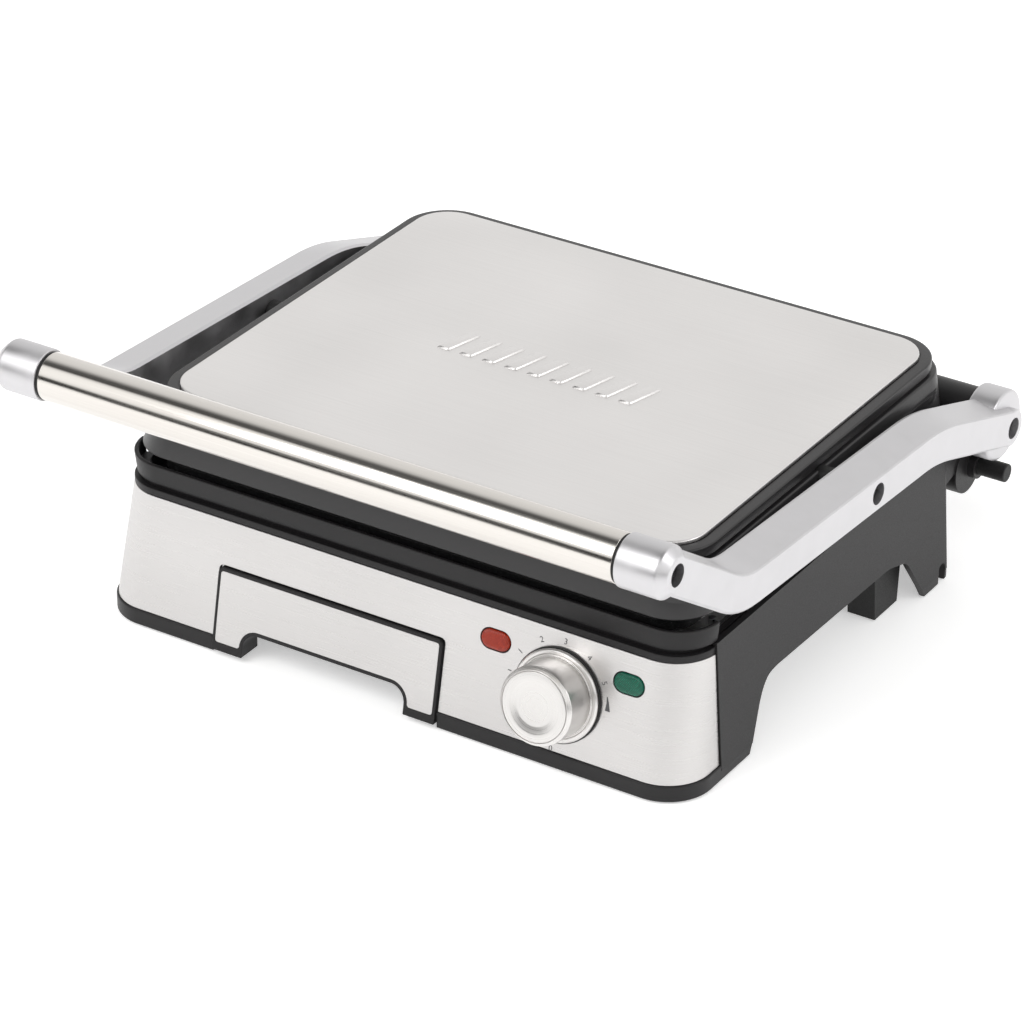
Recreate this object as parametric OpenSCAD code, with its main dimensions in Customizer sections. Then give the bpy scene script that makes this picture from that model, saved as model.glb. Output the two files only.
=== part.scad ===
// Panini press: a contact grill. Two cast arms and a tubular handle carry a lid that floats
// on two pivots over the lower plate. The base holds a drip drawer, a thermostat knob and
// two lamps. Millimetres, X to the right, Y to the back, Z up. The origin is on the table,
// under the middle of the press.

/* [Plates] */
// Width of each cooking plate
plate_w = 311; // [260:1:375]
// Depth of each cooking plate, front to back
plate_d = 253; // [212:1:304]
// Distance from the origin back to the middle of the plates
plate_y = 17; // [10:0.5:24]
// Corner radius of the plates
plate_r = 18; // [10:1:24]
// Thickness of the web that carries the ribs
plate_t = 4.6; // [3:0.1:6]
// Height of the ribs
rib_h = 4.4; // [2:0.1:5]
// Width of one rib
rib_w = 4; // [3:0.1:6]
// Distance between rib centres
rib_pitch = 10; // [8:0.5:14]
// Free gap between the closed plates
plate_gap = 4.4; // [4.4:0.1:6]

/* [Base] */
// Height of the rubber feet that show below the base
foot_h = 1; // [0.6:0.1:2]
// Top of the plain rim at the bottom of the base
rim_z = 10; // [8:0.5:14]
// How far the rim stands out from the fascia
rim_step = 1; // [0.5:0.1:2]
// Height of the brushed fascia above the rim
fascia_h = 61.5; // [56:0.5:76]
// How far the fascia leans back over its height
fascia_lean = 11.9; // [6:0.1:16]
// How far each side leans in over the fascia's height
side_lean = 4; // [1:0.1:6]
// Corner radius of the base in plan
base_r = 24; // [22:0.5:32]
// Wall of the base moulding
base_wall = 2.5; // [2:0.1:3.5]
// Thickness of the fascia sheet
sheet_t = 0.8; // [0.5:0.1:1.2]
// Length of base side that the fascia wraps behind its bottom front edge
wrap_d = 33.7; // [30:0.5:60]
// Clear height under the side arches
arch_z = 36; // [28:1:44]

/* [Deck and frame] */
// Thickness of the deck that closes the base
deck_t = 3.9; // [3:0.1:7]
// How far the deck stands out past the plates at the sides
deck_side = 15.4; // [14:0.1:24]
// How far the deck stands out in front of the plates
deck_front = 11.3; // [9:0.1:16]
// Height of the dark neck above the deck
neck_h = 2.1; // [2:0.1:5]
// Height of the frame round the lower plate
frame_h = 11.2; // [9:0.1:14]
// How much further out the frame's sides stand than its front wall needs
frame_flare = 8; // [5:0.1:8.5]
// Wall of the frame and of the lid's skirt
skirt_wall = 4.5; // [3:0.1:6]
// Clearance between a plate and the wall round it
plate_clear = 1.5; // [1:0.1:3]

/* [Lid] */
// Open seam between the lower frame and the lid
seam_h = 5; // [5:0.1:8]
// Height of the lid's skirt
skirt_h = 21.8; // [18:0.1:26]
// Height of the groove over the skirt
groove_h = 1.5; // [1:0.1:3]
// Height of the lid's rim band
band_h = 5.7; // [5:0.1:9]
// Width of rim that shows round the steel cover
band_w = 6.6; // [5:0.1:10]
// Height of the pressed steel cover over the rim
cover_h = 2.1; // [1.5:0.1:4]
// Corner radius of the steel cover
cover_r = 20; // [14:1:26]
// Width of each side of the lid's rim past the plate
band_side = 4.1; // [3:0.1:6]

/* [Arms and handle] */
// Gap between the lid's skirt and an arm
arm_gap = 9; // [7:0.1:14]
// Thickness of an arm, side to side
arm_t = 21; // [18:0.5:26]
// Height of an arm's bar
arm_h = 20.4; // [17:0.1:24]
// Height of the handle's axis over the steel cover
handle_lift = 35.2; // [33:0.1:50]
// Distance of the handle's axis in front of the plates
handle_reach = 67; // [60:0.5:90]
// Radius of the handle tube
tube_r = 12.5; // [11:0.1:15]
// Wall of the handle tube
tube_wall = 1.2; // [0.8:0.1:2]
// Radius of the cast boss at each end of the handle
boss_r = 13.5; // [12.5:0.1:16]
// Length of the cast boss, from the arm's outer face inwards
boss_l = 27; // [24:0.5:34]
// Width of the dark ring between tube and boss
ring_t = 1.6; // [1:0.1:3]
// Distance of the arm's front bend behind the handle
front_bend_y = 63.5; // [50:0.5:70]
// Drop of the arm's front bend under the handle
front_bend_z = 43; // [30:0.5:50]
// Distance of the arm's rear bend in front of the hinge
rear_bend_y = 82.5; // [60:0.5:90]
// Height of the arm's rear bend over the hinge
rear_bend_z = 27.9; // [20:0.1:34]
// Radius of the screw wells in an arm's outer face
well_r = 5.8; // [5:0.1:7]
// Depth of the screw wells
well_d = 9; // [6:0.5:12]

/* [Hinge] */
// Distance of the hinge axis behind the plates
hinge_back = 27; // [24:0.5:36]
// Drop of the hinge axis below the lid's lower edge
hinge_drop = 14.3; // [11:0.1:22]
// Radius of the hub on each arm
hub_r = 19.5; // [17:0.5:22]
// Length of the hub, side to side
hub_l = 16; // [12:0.5:18]
// Radius of the hinge barrel
barrel_r = 16; // [13:0.5:17]
// Radius of the hinge shaft
shaft_r = 5; // [4:0.5:6]
// Distance from the plates' middle back to the lid's pivots
pivot_back = 3.4; // [0:0.1:12]
// Radius of the lid's pivot pins
pivot_r = 4; // [3:0.5:5]
// Radial play of a shaft or pin in its bush
run_clear = 0.06; // [0.03:0.01:0.1]
// Drop of the release pin below the hinge axis
release_drop = 27.9; // [26:0.1:34]
// Radius of the release pin
release_r = 5; // [4:0.5:6]

/* [Drawer] */
// Width of the drawer's front
drawer_w = 135; // [112:1:162]
// Distance of the drawer's middle to the left of the origin
drawer_x = 35; // [20:1:45]
// Lower edge of the drawer's front
drawer_z = 3.5; // [2:0.5:6]
// Height of the drawer's front
drawer_h = 44; // [36:1:52]
// Length of the tray behind the front
tray_l = 180; // [150:1:200]
// Depth of the tray
tray_h = 16; // [12:0.5:18]
// Wall of the tray
tray_wall = 1.8; // [1.2:0.1:3]
// Width of the dark frame on the drawer's front
drawer_frame = 4.5; // [3:0.1:7]
// Width of the finger cut-out at the table
grip_w = 98; // [80:1:110]
// Top of the finger cut-out above the table
grip_z = 17.5; // [14:0.5:20]
// Radius of the cut-out's upper corners
grip_r = 9; // [5:0.5:12]
// Play round the drawer's front
drawer_play = 0.7; // [0.4:0.1:1.2]

/* [Controls] */
// Distance of the knob from the origin to the right
knob_x = 99.3; // [90:0.1:110]
// Height of the knob's axis where it meets the fascia
knob_z = 39.2; // [36:0.1:44]
// Radius of the knob's skirt
knob_skirt_r = 24.3; // [20:0.1:28]
// Thickness of the knob's skirt
knob_skirt_t = 3; // [2:0.1:5]
// Radius of the knob's grip
knob_r = 19.7; // [16:0.1:22]
// How far the knob stands out of the fascia
knob_out = 20; // [16:0.5:26]
// Radius of the thermostat shaft
spindle_r = 3; // [2.5:0.1:4]
// Height of the two lamps
lamp_z = 56.1; // [52:0.1:62]
// Distance of a lamp from the knob, side to side
lamp_dx = 38; // [36:0.1:44]
// Length of a lamp's lens
lamp_w = 16.4; // [12:0.1:20]
// Height of a lamp's lens
lamp_h = 10; // [8:0.1:12]

/* [Hidden] */
$fn = 64;
eps = 0.01;
tall = 400;

// Plan of the plates and of what is stepped outwards from them
plate_hw = plate_w / 2;
plate_front = plate_y - plate_d / 2;
plate_rear = plate_y + plate_d / 2;

// Levels, from the table up
deck_z = rim_z + fascia_h;
deck_top = deck_z + deck_t;
frame_z = deck_top + neck_h;
frame_top = frame_z + frame_h;
lid_z = frame_top + seam_h;
skirt_top = lid_z + skirt_h;
band_z = skirt_top + groove_h;
band_top = band_z + band_h;
cover_top = band_top + cover_h;
rib_top = frame_top + (seam_h - plate_gap) / 2 + 0.2;
rib_low = rib_top + plate_gap;
plate_under = rib_top - rib_h - plate_t;
plate_over = rib_low + rib_h + plate_t;

// Base outline: half widths and front faces at the foot and at the top of the fascia
top_hw = plate_hw + deck_side;
foot_hw = top_hw + side_lean;
top_front = plate_front - deck_front;
foot_front = top_front - fascia_lean;
base_rear = plate_rear - 4.5;
fascia_end = foot_front + wrap_d;
lean = atan(fascia_lean / fascia_h);
rim_in = base_wall + 0.3;

// Frame and lid outline
frame_out = plate_clear + skirt_wall + 1.5;
frame_hw = plate_hw + frame_out + frame_flare;
frame_front = top_front + 1.3;
frame_rear = plate_rear + 6.5;
skirt_r = plate_r + 6;
band_hw = plate_hw + band_side;
band_front = plate_front + 1.9;
band_rear = plate_rear + 14.6;
cover_hw = band_hw - band_w;
cover_front = band_front + band_w;
cover_rear = band_rear - band_w;
lid_wall = 3;

// Arms, handle and hinge
arm_in = plate_hw + frame_out + arm_gap;
arm_out = arm_in + arm_t;
handle_y = plate_front - handle_reach;
handle_z = cover_top + handle_lift;
hinge_y = plate_rear + hinge_back;
hinge_z = lid_z - hinge_drop;
boss_in = arm_out - boss_l;
tube_hl = boss_in - ring_t;
bend_1 = [handle_y + front_bend_y, handle_z - front_bend_z];
bend_2 = [hinge_y - rear_bend_y, hinge_z + rear_bend_z];
pivot_y = plate_y + pivot_back;
pivot_z = bend_1[1] + (bend_2[1] - bend_1[1]) * (pivot_y - bend_1[0]) / (bend_2[0] - bend_1[0]);
hub_in = arm_in - 1;
bush_l = 12;
bush_wall = 3;
barrel_hl = hub_in - 0.8;
web_out = barrel_hl - 1;
web_t = 12.5;
hole_r = 3.3;
head_r = 5;
head_h = 5;
release_y = hinge_y + 1;
release_z = hinge_z - release_drop;
release_out = arm_out - 2.5;
ear_r = 14.5;

// Drawer: its front face follows the fascia, its back is upright
drawer_back = top_front;
drawer_top = drawer_z + drawer_h;
cover_z = arch_z + 0.5;
cover_t = 2.5;
tray_flange = 3;
tray_hw = drawer_w / 2 - 5;
tray_top = cover_z - 3.5;
tray_z = tray_top - tray_h;

// Screws, posts and their holes
screw_r = 2;
screw_hole_r = 2.1;
post_r = 4.5;
screw_head_r = 3.8;
screw_head_h = 2.2;
screw_x = plate_hw + 0.5;
screw_y = plate_d / 2 - 32;
deck_post_h = deck_z - cover_z - cover_t;

// Legs, feet and the arches between them
leg_back = -72;
mid_foot_x = foot_hw - 17.5;
mid_foot_y = base_rear - 50;
mid_foot_hw = 8;
mid_foot_hd = 12;
front_foot_x = foot_hw - 32;
front_foot_y = foot_front + 17;
foot_pin_r = 2.9;
foot_pin_hole_r = 3;
arch_outline = [
    [leg_back, -1], [leg_back + 12, arch_z - 9], [leg_back + 16, arch_z - 3],
    [leg_back + 21, arch_z + 1], [leg_back + 28, arch_z + 2], [base_rear - 66, arch_z],
    [base_rear - 47, arch_z - 5], [base_rear - 25, -1]
];

// Drain of the lower plate and the chute under it
drain_x = -drawer_x;
drain_w = 22;
drain_d = 8;
drain_y = plate_front + 9;
chute_wall = 1;
chute_hw = drain_w / 2 + 1 + chute_wall;
chute_hd = drain_d / 2 + 0.6 + chute_wall;
chute_z = cover_z + 1;
chute_play = 0.3;
cover_hw_in = foot_hw - base_wall - side_lean - 0.5;
cover_front_y = drain_y + chute_hd + 1.5;

// Heater rods and reflector pans
element_r = 3.2;
element_play = 0.02;
loop_r = plate_hw - 55;
loop_y = plate_front + 25 + loop_r;
leg_end = plate_rear - 24;
pan_hw = plate_hw - 6.5;
pan_front = plate_front + 18;
pan_rear = plate_rear - 9.5;
pan_r = plate_r - 2;
pan_flange = 3;
pan_z = deck_z - 12;
rib_n = floor((plate_hw - 16) / rib_pitch);
lip_w = 5;

// Cord gland and terminal block
gland_x = -110;
gland_z = 50;
gland_r = 8;
gland_lip = 2.5;
cord_hole_r = 3.8;
block_hw = 16;
block_front = base_rear - 42;
block_rear = base_rear - 28;

// Lid
skirt_hw = frame_hw - 3.5;
skirt_front = frame_front + 2.5;
skirt_low_rear = frame_rear + 3.5;
skirt_rear = band_rear + 0.9;
pivot_boss_r = pivot_r + 5;
bush_r = pivot_r + 2;
roof_t = 3.6;
boss_start = plate_hw + 0.5;
lid_screw_x = loop_r + 30;
lid_screw_r = 1.5;
lid_head_r = 3.6;
lid_head_h = 2.4;

// Handle rod, thermostat, knob and drawer rails
rod_r = 3.9;
rod_end = boss_in - 8;
knob_gap = 0.4;
knob_socket_r = spindle_r + 3.9;
knob_hole_r = 8;
knob_base = knob_gap + knob_skirt_t;
thermostat_z = -base_wall - 24;
rail_t = 2;
rail_in = tray_hw + tray_flange + 0.6;
rail_lip = tray_hw + 0.8;
rail_front = max(drawer_back + 24, cover_front_y + 0.5);
rail_rear = drawer_back + tray_l + 4;

// Height and place of a point on the leaning fascia
function face_y(z) = foot_front + (z - rim_z) * fascia_lean / fascia_h;

// Puts children on the fascia with their +Z pointing out of it
module on_face(x, z) {
    translate([x, face_y(z), z]) rotate([90 - lean, 0, 0]) children();
}

// Rounded rectangle, symmetric about X = 0
module plan(hw, front, rear, r) {
    for (x = [-hw + r, hw - r], y = [front + r, rear - r]) translate([x, y]) circle(r);
    translate([-hw + r, front]) square([2 * (hw - r), rear - front]);
    translate([-hw, front + r]) square([2 * hw, rear - front - 2 * r]);
}

// Rounded rectangle raised by h from height z
module slab(hw, front, rear, r, z, h) {
    translate([0, 0, z]) linear_extrude(h) plan(hw, front, rear, r);
}

// Block with two half-round ends, w long and h high
module pill(w, h, t) {
    linear_extrude(t) {
        for (x = [-1, 1]) translate([x * (w - h) / 2, 0]) circle(h / 2);
        translate([-(w - h) / 2, -h / 2]) square([w - h, h]);
    }
}

// The leaning body of the base between rim and deck, stepped inwards by inset
module body_solid(inset, low = 0, high = 0) {
    z0 = rim_z - low;
    z1 = deck_z + high;
    k0 = -low / fascia_h;
    k1 = 1 + high / fascia_h;
    hull() {
        slab(foot_hw - side_lean * k0 - inset, foot_front + fascia_lean * k0 + inset,
             base_rear - inset, base_r - inset, z0, eps, $fn = 48);
        slab(foot_hw - side_lean * k1 - inset, foot_front + fascia_lean * k1 + inset,
             base_rear - inset, base_r - inset, z1 - eps, eps, $fn = 48);
    }
}

// Block between a low and a high X, Y and Z
module block(x0, x1, y0, y1, z0, z1) {
    translate([x0, y0, z0]) cube([x1 - x0, y1 - y0, z1 - z0]);
}

// Cylinder along X between two places
module rod_x(x0, x1, y, z, r) {
    translate([x0, y, z]) rotate([0, 90, 0]) cylinder(h = x1 - x0, r = r);
}

// Outline in the Y-Z plane, extruded along X
module side_cut(x0, x1, points) {
    translate([x0, 0, 0]) rotate([90, 0, 90]) linear_extrude(x1 - x0) polygon(points);
}

// Copies on the left and on the right
module both() {
    children();
    mirror([1, 0, 0]) children();
}

// Front opening for the drawer, with play
module drawer_window(play) {
    block(-drawer_x - drawer_w / 2 - play, -drawer_x + drawer_w / 2 + play,
          foot_front - 20, drawer_back + 15, -20, drawer_top + play);
}

// ---- Base ----

module base_housing() {
    color([0.22, 0.22, 0.23]) difference() {
        union() {
            slab(foot_hw + rim_step, foot_front - rim_step, base_rear, base_r + rim_step,
                 foot_h, rim_z - foot_h);
            body_solid(0);
        }
        difference() {
            slab(foot_hw - rim_in, foot_front + rim_in, base_rear - rim_in, base_r - rim_in,
                 -1, rim_z + 1.5);
            both() block(front_foot_x - 14, foot_hw, foot_front, front_foot_y + 14, 0, foot_h + 3);
        }
        both() translate([front_foot_x, front_foot_y, 0]) cylinder(h = 20, r = foot_pin_hole_r);
        body_solid(base_wall, 0, 1);
        intersection() {
            difference() {
                body_solid(-2, 0, 1);
                body_solid(sheet_t, 1, 2);
            }
            block(-tall, tall, foot_front - 20, fascia_end, rim_z, deck_z + 1);
        }
        side_cut(-tall, tall, arch_outline);
        block(-foot_hw + 28, foot_hw - 28, base_rear - 20, base_rear + 10, -1, arch_z);
        both() block(foot_hw - 20, foot_hw + 20, base_rear - 12, base_rear - 5, -1, 9);
        both() rod_x(foot_hw - 20, foot_hw + 20, base_rear - 8.5, 9, 3.5);
        drawer_window(drawer_play);
        on_face(knob_x, knob_z) translate([0, 0, -12]) cylinder(h = 24, r = knob_hole_r);
        for (s = [-1, 1]) on_face(knob_x + s * lamp_dx, lamp_z)
            translate([0, 0, -12]) pill(lamp_w - 2, lamp_h - 2, 24);
        translate([gland_x, base_rear + 5, gland_z]) rotate([90, 0, 0])
            cylinder(h = 12, r = gland_r);
    }
}

module front_fascia() {
    color([0.8, 0.8, 0.79]) difference() {
        intersection() {
            body_solid(0);
            block(-tall, tall, foot_front - 20, fascia_end - 0.2, rim_z, deck_z);
        }
        body_solid(sheet_t, 1, 1);
        drawer_window(drawer_play);
        on_face(knob_x, knob_z) translate([0, 0, -12]) cylinder(h = 24, r = knob_hole_r);
        for (s = [-1, 1]) on_face(knob_x + s * lamp_dx, lamp_z)
            translate([0, 0, -12]) pill(lamp_w + 0.4, lamp_h + 0.4, 24);
    }
}

module bottom_cover() {
    color([0.14, 0.14, 0.15]) difference() {
        union() {
            slab(cover_hw_in, cover_front_y, base_rear - base_wall - 0.5, base_r - base_wall,
                 cover_z, cover_t);
            both() side_cut(mid_foot_x - mid_foot_hw, mid_foot_x + mid_foot_hw, [
                [mid_foot_y - mid_foot_hd, foot_h], [mid_foot_y + mid_foot_hd, foot_h],
                [mid_foot_y + mid_foot_hd + 3, cover_z + 1],
                [mid_foot_y - mid_foot_hd - 3, cover_z + 1]]);
        }
        for (x = [-1, 1], y = [-1, 1])
            translate([x * screw_x, plate_y + y * screw_y, 0]) cylinder(h = tall, r = screw_hole_r);
        for (x = [-100 : 25 : 100]) translate([x, base_rear - 60, cover_z - 1])
            linear_extrude(cover_t + 2) union() {
                translate([-3, -12]) square([6, 24]);
                for (y = [-12, 12]) translate([0, y]) circle(3);
            }
    }
}

module drawer_rails() {
    color([0.6, 0.6, 0.6]) for (s = [-1, 1]) translate([-drawer_x, 0, 0]) scale_x(s) {
        block(rail_in, rail_in + rail_t, rail_front, rail_rear, tray_top - 6, cover_z);
        block(rail_lip, rail_in + eps, rail_front, rail_rear, tray_top - 6, tray_top - 2.4);
    }
}

// Mirrors children when s is -1
module scale_x(s) {
    if (s < 0) mirror([1, 0, 0]) children();
    else children();
}

module top_deck() {
    color([0.17, 0.17, 0.18]) difference() {
        union() {
            slab(top_hw, top_front, frame_rear, base_r - 1, deck_z, deck_t);
            slab(frame_hw - 2.5, frame_front + 2.5, frame_rear - 2.5, skirt_r - 2, deck_top - eps,
                 neck_h + eps);
            for (x = [-1, 1], y = [-1, 1])
                translate([x * screw_x, plate_y + y * screw_y, cover_z + cover_t])
                    cylinder(h = deck_post_h + eps, r = post_r);
        }
        slab(pan_hw + 0.5, pan_front - 0.5, pan_rear + 0.5, pan_r + 0.5, deck_z - 1, deck_t + 2);
        chute_block(chute_play);
        slab(frame_hw - 5.5, frame_front + 5.5, frame_rear - 5.5, skirt_r - 5, deck_top, neck_h + 1);
        for (x = [-1, 1], y = [-1, 1])
            translate([x * screw_x, plate_y + y * screw_y, 0]) cylinder(h = tall, r = screw_hole_r);
    }
}

module lower_frame() {
    color([0.2, 0.2, 0.21]) difference() {
        slab(frame_hw, frame_front, frame_rear, skirt_r, frame_z, frame_h);
        slab(plate_hw + plate_clear + 1.5, plate_front - plate_clear - 1, frame_rear - skirt_wall,
             skirt_r - skirt_wall, plate_under, frame_h);
        slab(pan_hw + 1, pan_front - 1, pan_rear + 1, pan_r + 1, frame_z - 1, 4);
        chute_block(chute_play);
        for (x = [-1, 1], y = [-1, 1])
            translate([x * screw_x, plate_y + y * screw_y, 0]) cylinder(h = tall, r = screw_hole_r);
    }
}

// One cooking plate, ribs up, its underside at z = 0
module ribbed_plate(with_drain) {
    difference() {
        union() {
            slab(plate_hw, plate_front, plate_rear, plate_r, 0, plate_t);
            for (i = [-rib_n : rib_n])
                block(i * rib_pitch - rib_w / 2, i * rib_pitch + rib_w / 2,
                      plate_front + 16, plate_rear - 12, plate_t - eps, plate_t + rib_h);
            difference() {
                slab(plate_hw, plate_front, plate_rear, plate_r, plate_t - eps, rib_h * 0.6);
                slab(plate_hw - lip_w, plate_front + lip_w, plate_rear - lip_w, plate_r - lip_w, 0, tall);
            }
        }
        if (with_drain) translate([drain_x, drain_y, -1]) pill(drain_w, drain_d, tall);
    }
}

module lower_plate() {
    color([0.15, 0.15, 0.15]) translate([0, 0, plate_under]) ribbed_plate(true);
}

module lower_reflector() {
    color([0.75, 0.75, 0.74]) difference() {
        union() {
            slab(pan_hw, pan_front, pan_rear, pan_r, pan_z, deck_top - pan_z + eps);
            slab(pan_hw + pan_flange, pan_front - pan_flange, pan_rear + pan_flange,
                 pan_r + pan_flange, deck_top, sheet_t);
        }
        slab(pan_hw - sheet_t, pan_front + sheet_t, pan_rear - sheet_t, pan_r - sheet_t,
             pan_z + sheet_t, tall);
    }
}

// Bent heater rod: a half turn in front and two legs that lead back
module element(z) {
    translate([0, loop_y, z]) rotate([0, 0, 180]) rotate_extrude(angle = 180)
        translate([loop_r, 0]) circle(element_r, $fn = 32);
    both() translate([loop_r, loop_y - eps, z]) rotate([-90, 0, 0])
        cylinder(h = leg_end - loop_y, r = element_r);
}

module lower_element() {
    color([0.35, 0.33, 0.31]) element(plate_under - element_r - element_play);
}

// Outside of the chute that leads the fat from the plate's drain down to the tray
module chute_block(grow) {
    x = chute_hw + grow;
    y = chute_hd + grow;
    block(drain_x - x, drain_x + x, drain_y - y, drain_y + y, chute_z, plate_under - 0.2 + grow);
}

module drain_chute() {
    color([0.7, 0.7, 0.7]) difference() {
        chute_block(0);
        translate([0, 0, -2]) chute_block(-chute_wall);
        translate([0, 0, 2]) chute_block(-chute_wall);
    }
}

module thermostat_body() {
    color([0.75, 0.72, 0.65]) on_face(knob_x, knob_z) difference() {
        union() {
            translate([0, 0, thermostat_z]) cylinder(h = 22, r = 15);
            translate([0, 0, -base_wall - 2 - eps]) cylinder(h = 1.9, r = 6);
            for (a = [0, 120, 240]) rotate([0, 0, a]) translate([9, -2, thermostat_z - 6])
                cube([1, 4, 6 + eps]);
        }
        translate([0, 0, -base_wall - 14]) cylinder(h = 20, r = spindle_r + run_clear);
    }
}

module lamp(s, shade) {
    color(shade) on_face(knob_x + s * lamp_dx, lamp_z) {
        translate([0, 0, -base_wall - 1]) pill(lamp_w - 2.4, lamp_h - 2.4, base_wall + 1);
        translate([0, 0, -sheet_t + 0.02]) pill(lamp_w, lamp_h, sheet_t + 0.9);
    }
}

module lamp_red() {
    lamp(-1, [0.72, 0.18, 0.05]);
}

module lamp_green() {
    lamp(1, [0.0, 0.42, 0.34]);
}

module lamp_holders() {
    color([0.85, 0.85, 0.8]) for (s = [-1, 1]) on_face(knob_x + s * lamp_dx, lamp_z)
        translate([0, 0, -base_wall - 13]) difference() {
            pill(lamp_w + 2, lamp_h + 2, 12.8);
            translate([0, 0, 2]) pill(lamp_w - 2, lamp_h - 2, 20);
        }
}

module terminal_block() {
    color([0.9, 0.88, 0.8]) difference() {
        block(gland_x - block_hw, gland_x + block_hw, block_front, block_rear,
              cover_z + cover_t, cover_z + cover_t + 12);
        for (i = [-1, 0, 1])
            translate([gland_x + i * 9, (block_front + block_rear) / 2, cover_z + cover_t + 4])
            cylinder(h = 20, r = 2.5);
    }
}

module thermal_fuse() {
    color([0.9, 0.9, 0.88]) rod_x(-70, -45, plate_y, pan_z - 4.1, 4);
}

module cord_gland() {
    color([0.1, 0.1, 0.1]) translate([gland_x, base_rear, gland_z]) rotate([90, 0, 0])
        difference() {
            union() {
                translate([0, 0, -9]) cylinder(h = 9, r = gland_r + gland_lip);
                translate([0, 0, -eps]) cylinder(h = base_wall + 2 * eps, r = gland_r - 0.1);
                translate([0, 0, base_wall + 0.1]) cylinder(h = 3, r = gland_r + gland_lip);
                cylinder(h = base_wall + 1, r = gland_r - 0.1);
            }
            translate([0, 0, -12]) cylinder(h = 30, r = cord_hole_r);
        }
}

module rubber_feet() {
    color([0.08, 0.08, 0.08]) both() {
        translate([mid_foot_x, mid_foot_y, 0]) cylinder(h = foot_h, r = 7);
        translate([front_foot_x, front_foot_y, 0]) cylinder(h = foot_h + 5, r = foot_pin_r);
        translate([front_foot_x, front_foot_y, 0]) cylinder(h = foot_h, r = 8);
    }
}

module base_screws() {
    color([0.5, 0.5, 0.52]) for (x = [-1, 1], y = [-1, 1])
        translate([x * screw_x, plate_y + y * screw_y, cover_z - screw_head_h]) {
            cylinder(h = screw_head_h, r = screw_head_r);
            cylinder(h = frame_z + 1.5 - cover_z, r = screw_r);
        }
}

// ---- Hinge ----

module web(x0, x1) {
    side_cut(x0, x1, [
        [base_rear + 0.2, hinge_z - 29], [base_rear + 0.2, deck_z - 0.8],
        [frame_rear + 0.8, deck_z - 0.8], [frame_rear + 2.5, hinge_z + 4],
        [hinge_y, hinge_z + barrel_r - 2], [hinge_y + barrel_r * 0.7, hinge_z],
        [hinge_y + 4, hinge_z - 22], [hinge_y - 14, hinge_z - 25]]);
}

module hinge_bridge() {
    color([0.12, 0.12, 0.13]) difference() {
        union() {
            rod_x(-barrel_hl, barrel_hl, hinge_y, hinge_z, barrel_r);
            both() web(web_out - web_t, web_out);
            rod_x(web_out - web_t, barrel_hl, hinge_y - 4, release_z, ear_r);
            rod_x(web_out, release_out - 16, release_y, release_z, release_r + 2.4);
        }
        rod_x(-tall, tall, hinge_y, hinge_z, shaft_r + bush_wall);
        rod_x(0, tall, release_y, release_z, release_r + run_clear);
    }
}

module hinge_bushes() {
    color([0.85, 0.83, 0.75]) both() difference() {
        rod_x(barrel_hl - bush_l, barrel_hl, hinge_y, hinge_z, shaft_r + bush_wall);
        rod_x(0, tall, hinge_y, hinge_z, shaft_r + run_clear);
    }
}

module release_pin() {
    color([0.1, 0.1, 0.1]) {
        rod_x(web_out - web_t - 5, release_out, release_y, release_z, release_r);
        rod_x(web_out - web_t - 5, web_out - web_t - 2, release_y, release_z, release_r + 2.5);
    }
}

// ---- Arms and handle ----

// Unit vector square to the line from a to b
function square_to(a, b) = [a[1] - b[1], b[0] - a[0]] / norm(b - a);

// Corner of a bar of half height h where the lines a-b and b-c meet
function mitre(a, b, c, h) =
    let (n = square_to(a, b), m = square_to(b, c), s = n + m)
    b + s * h / (s * n);

arm_line = [[handle_y, handle_z], bend_1, bend_2, [hinge_y, hinge_z]];

// Both edges of the bar that follows arm_line
function arm_edge(h) = [
    arm_line[0] + square_to(arm_line[0], arm_line[1]) * h,
    mitre(arm_line[0], arm_line[1], arm_line[2], h),
    mitre(arm_line[1], arm_line[2], arm_line[3], h),
    arm_line[3] + square_to(arm_line[2], arm_line[3]) * h
];
function reversed(list) = [for (i = [len(list) - 1 : -1 : 0]) list[i]];

module arm() {
    color([0.78, 0.78, 0.78]) difference() {
        union() {
            side_cut(arm_in, arm_out,
                     concat(arm_edge(arm_h / 2), reversed(arm_edge(-arm_h / 2))));
            rod_x(boss_in, arm_out, handle_y, handle_z, boss_r);
            rod_x(arm_in, arm_out, hinge_y, hinge_z, arm_h / 2);
            rod_x(hub_in, hub_in + hub_l, hinge_y, hinge_z, hub_r);
        }
        for (p = [arm_line[0], arm_line[3], [pivot_y, pivot_z]]) {
            rod_x(arm_out - well_d, arm_out + 1, p[0], p[1], well_r);
        }
        rod_x(0, tall, handle_y, handle_z, hole_r);
        rod_x(0, arm_out - well_d - 6, hinge_y, hinge_z, shaft_r);
        rod_x(0, tall, hinge_y, hinge_z, hole_r);
        rod_x(0, tall, pivot_y, pivot_z, pivot_r);
    }
}

module arm_right() {
    arm();
}

module arm_left() {
    mirror([1, 0, 0]) arm();
}

module handle_tube() {
    color([0.82, 0.82, 0.81]) difference() {
        rod_x(-tube_hl, tube_hl, handle_y, handle_z, tube_r);
        rod_x(-tall, tall, handle_y, handle_z, tube_r - tube_wall);
    }
}

module handle_rings() {
    color([0.06, 0.06, 0.06]) both() difference() {
        rod_x(tube_hl, boss_in, handle_y, handle_z, tube_r - 0.6);
        rod_x(0, tall, handle_y, handle_z, rod_r + 0.1);
    }
}

module handle_rod() {
    color([0.55, 0.55, 0.56]) {
        rod_x(-rod_end, rod_end, handle_y, handle_z, rod_r);
        both() rod_x(rod_end - 12, rod_end - 2, handle_y, handle_z, tube_r - tube_wall - 0.1);
    }
}

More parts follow.
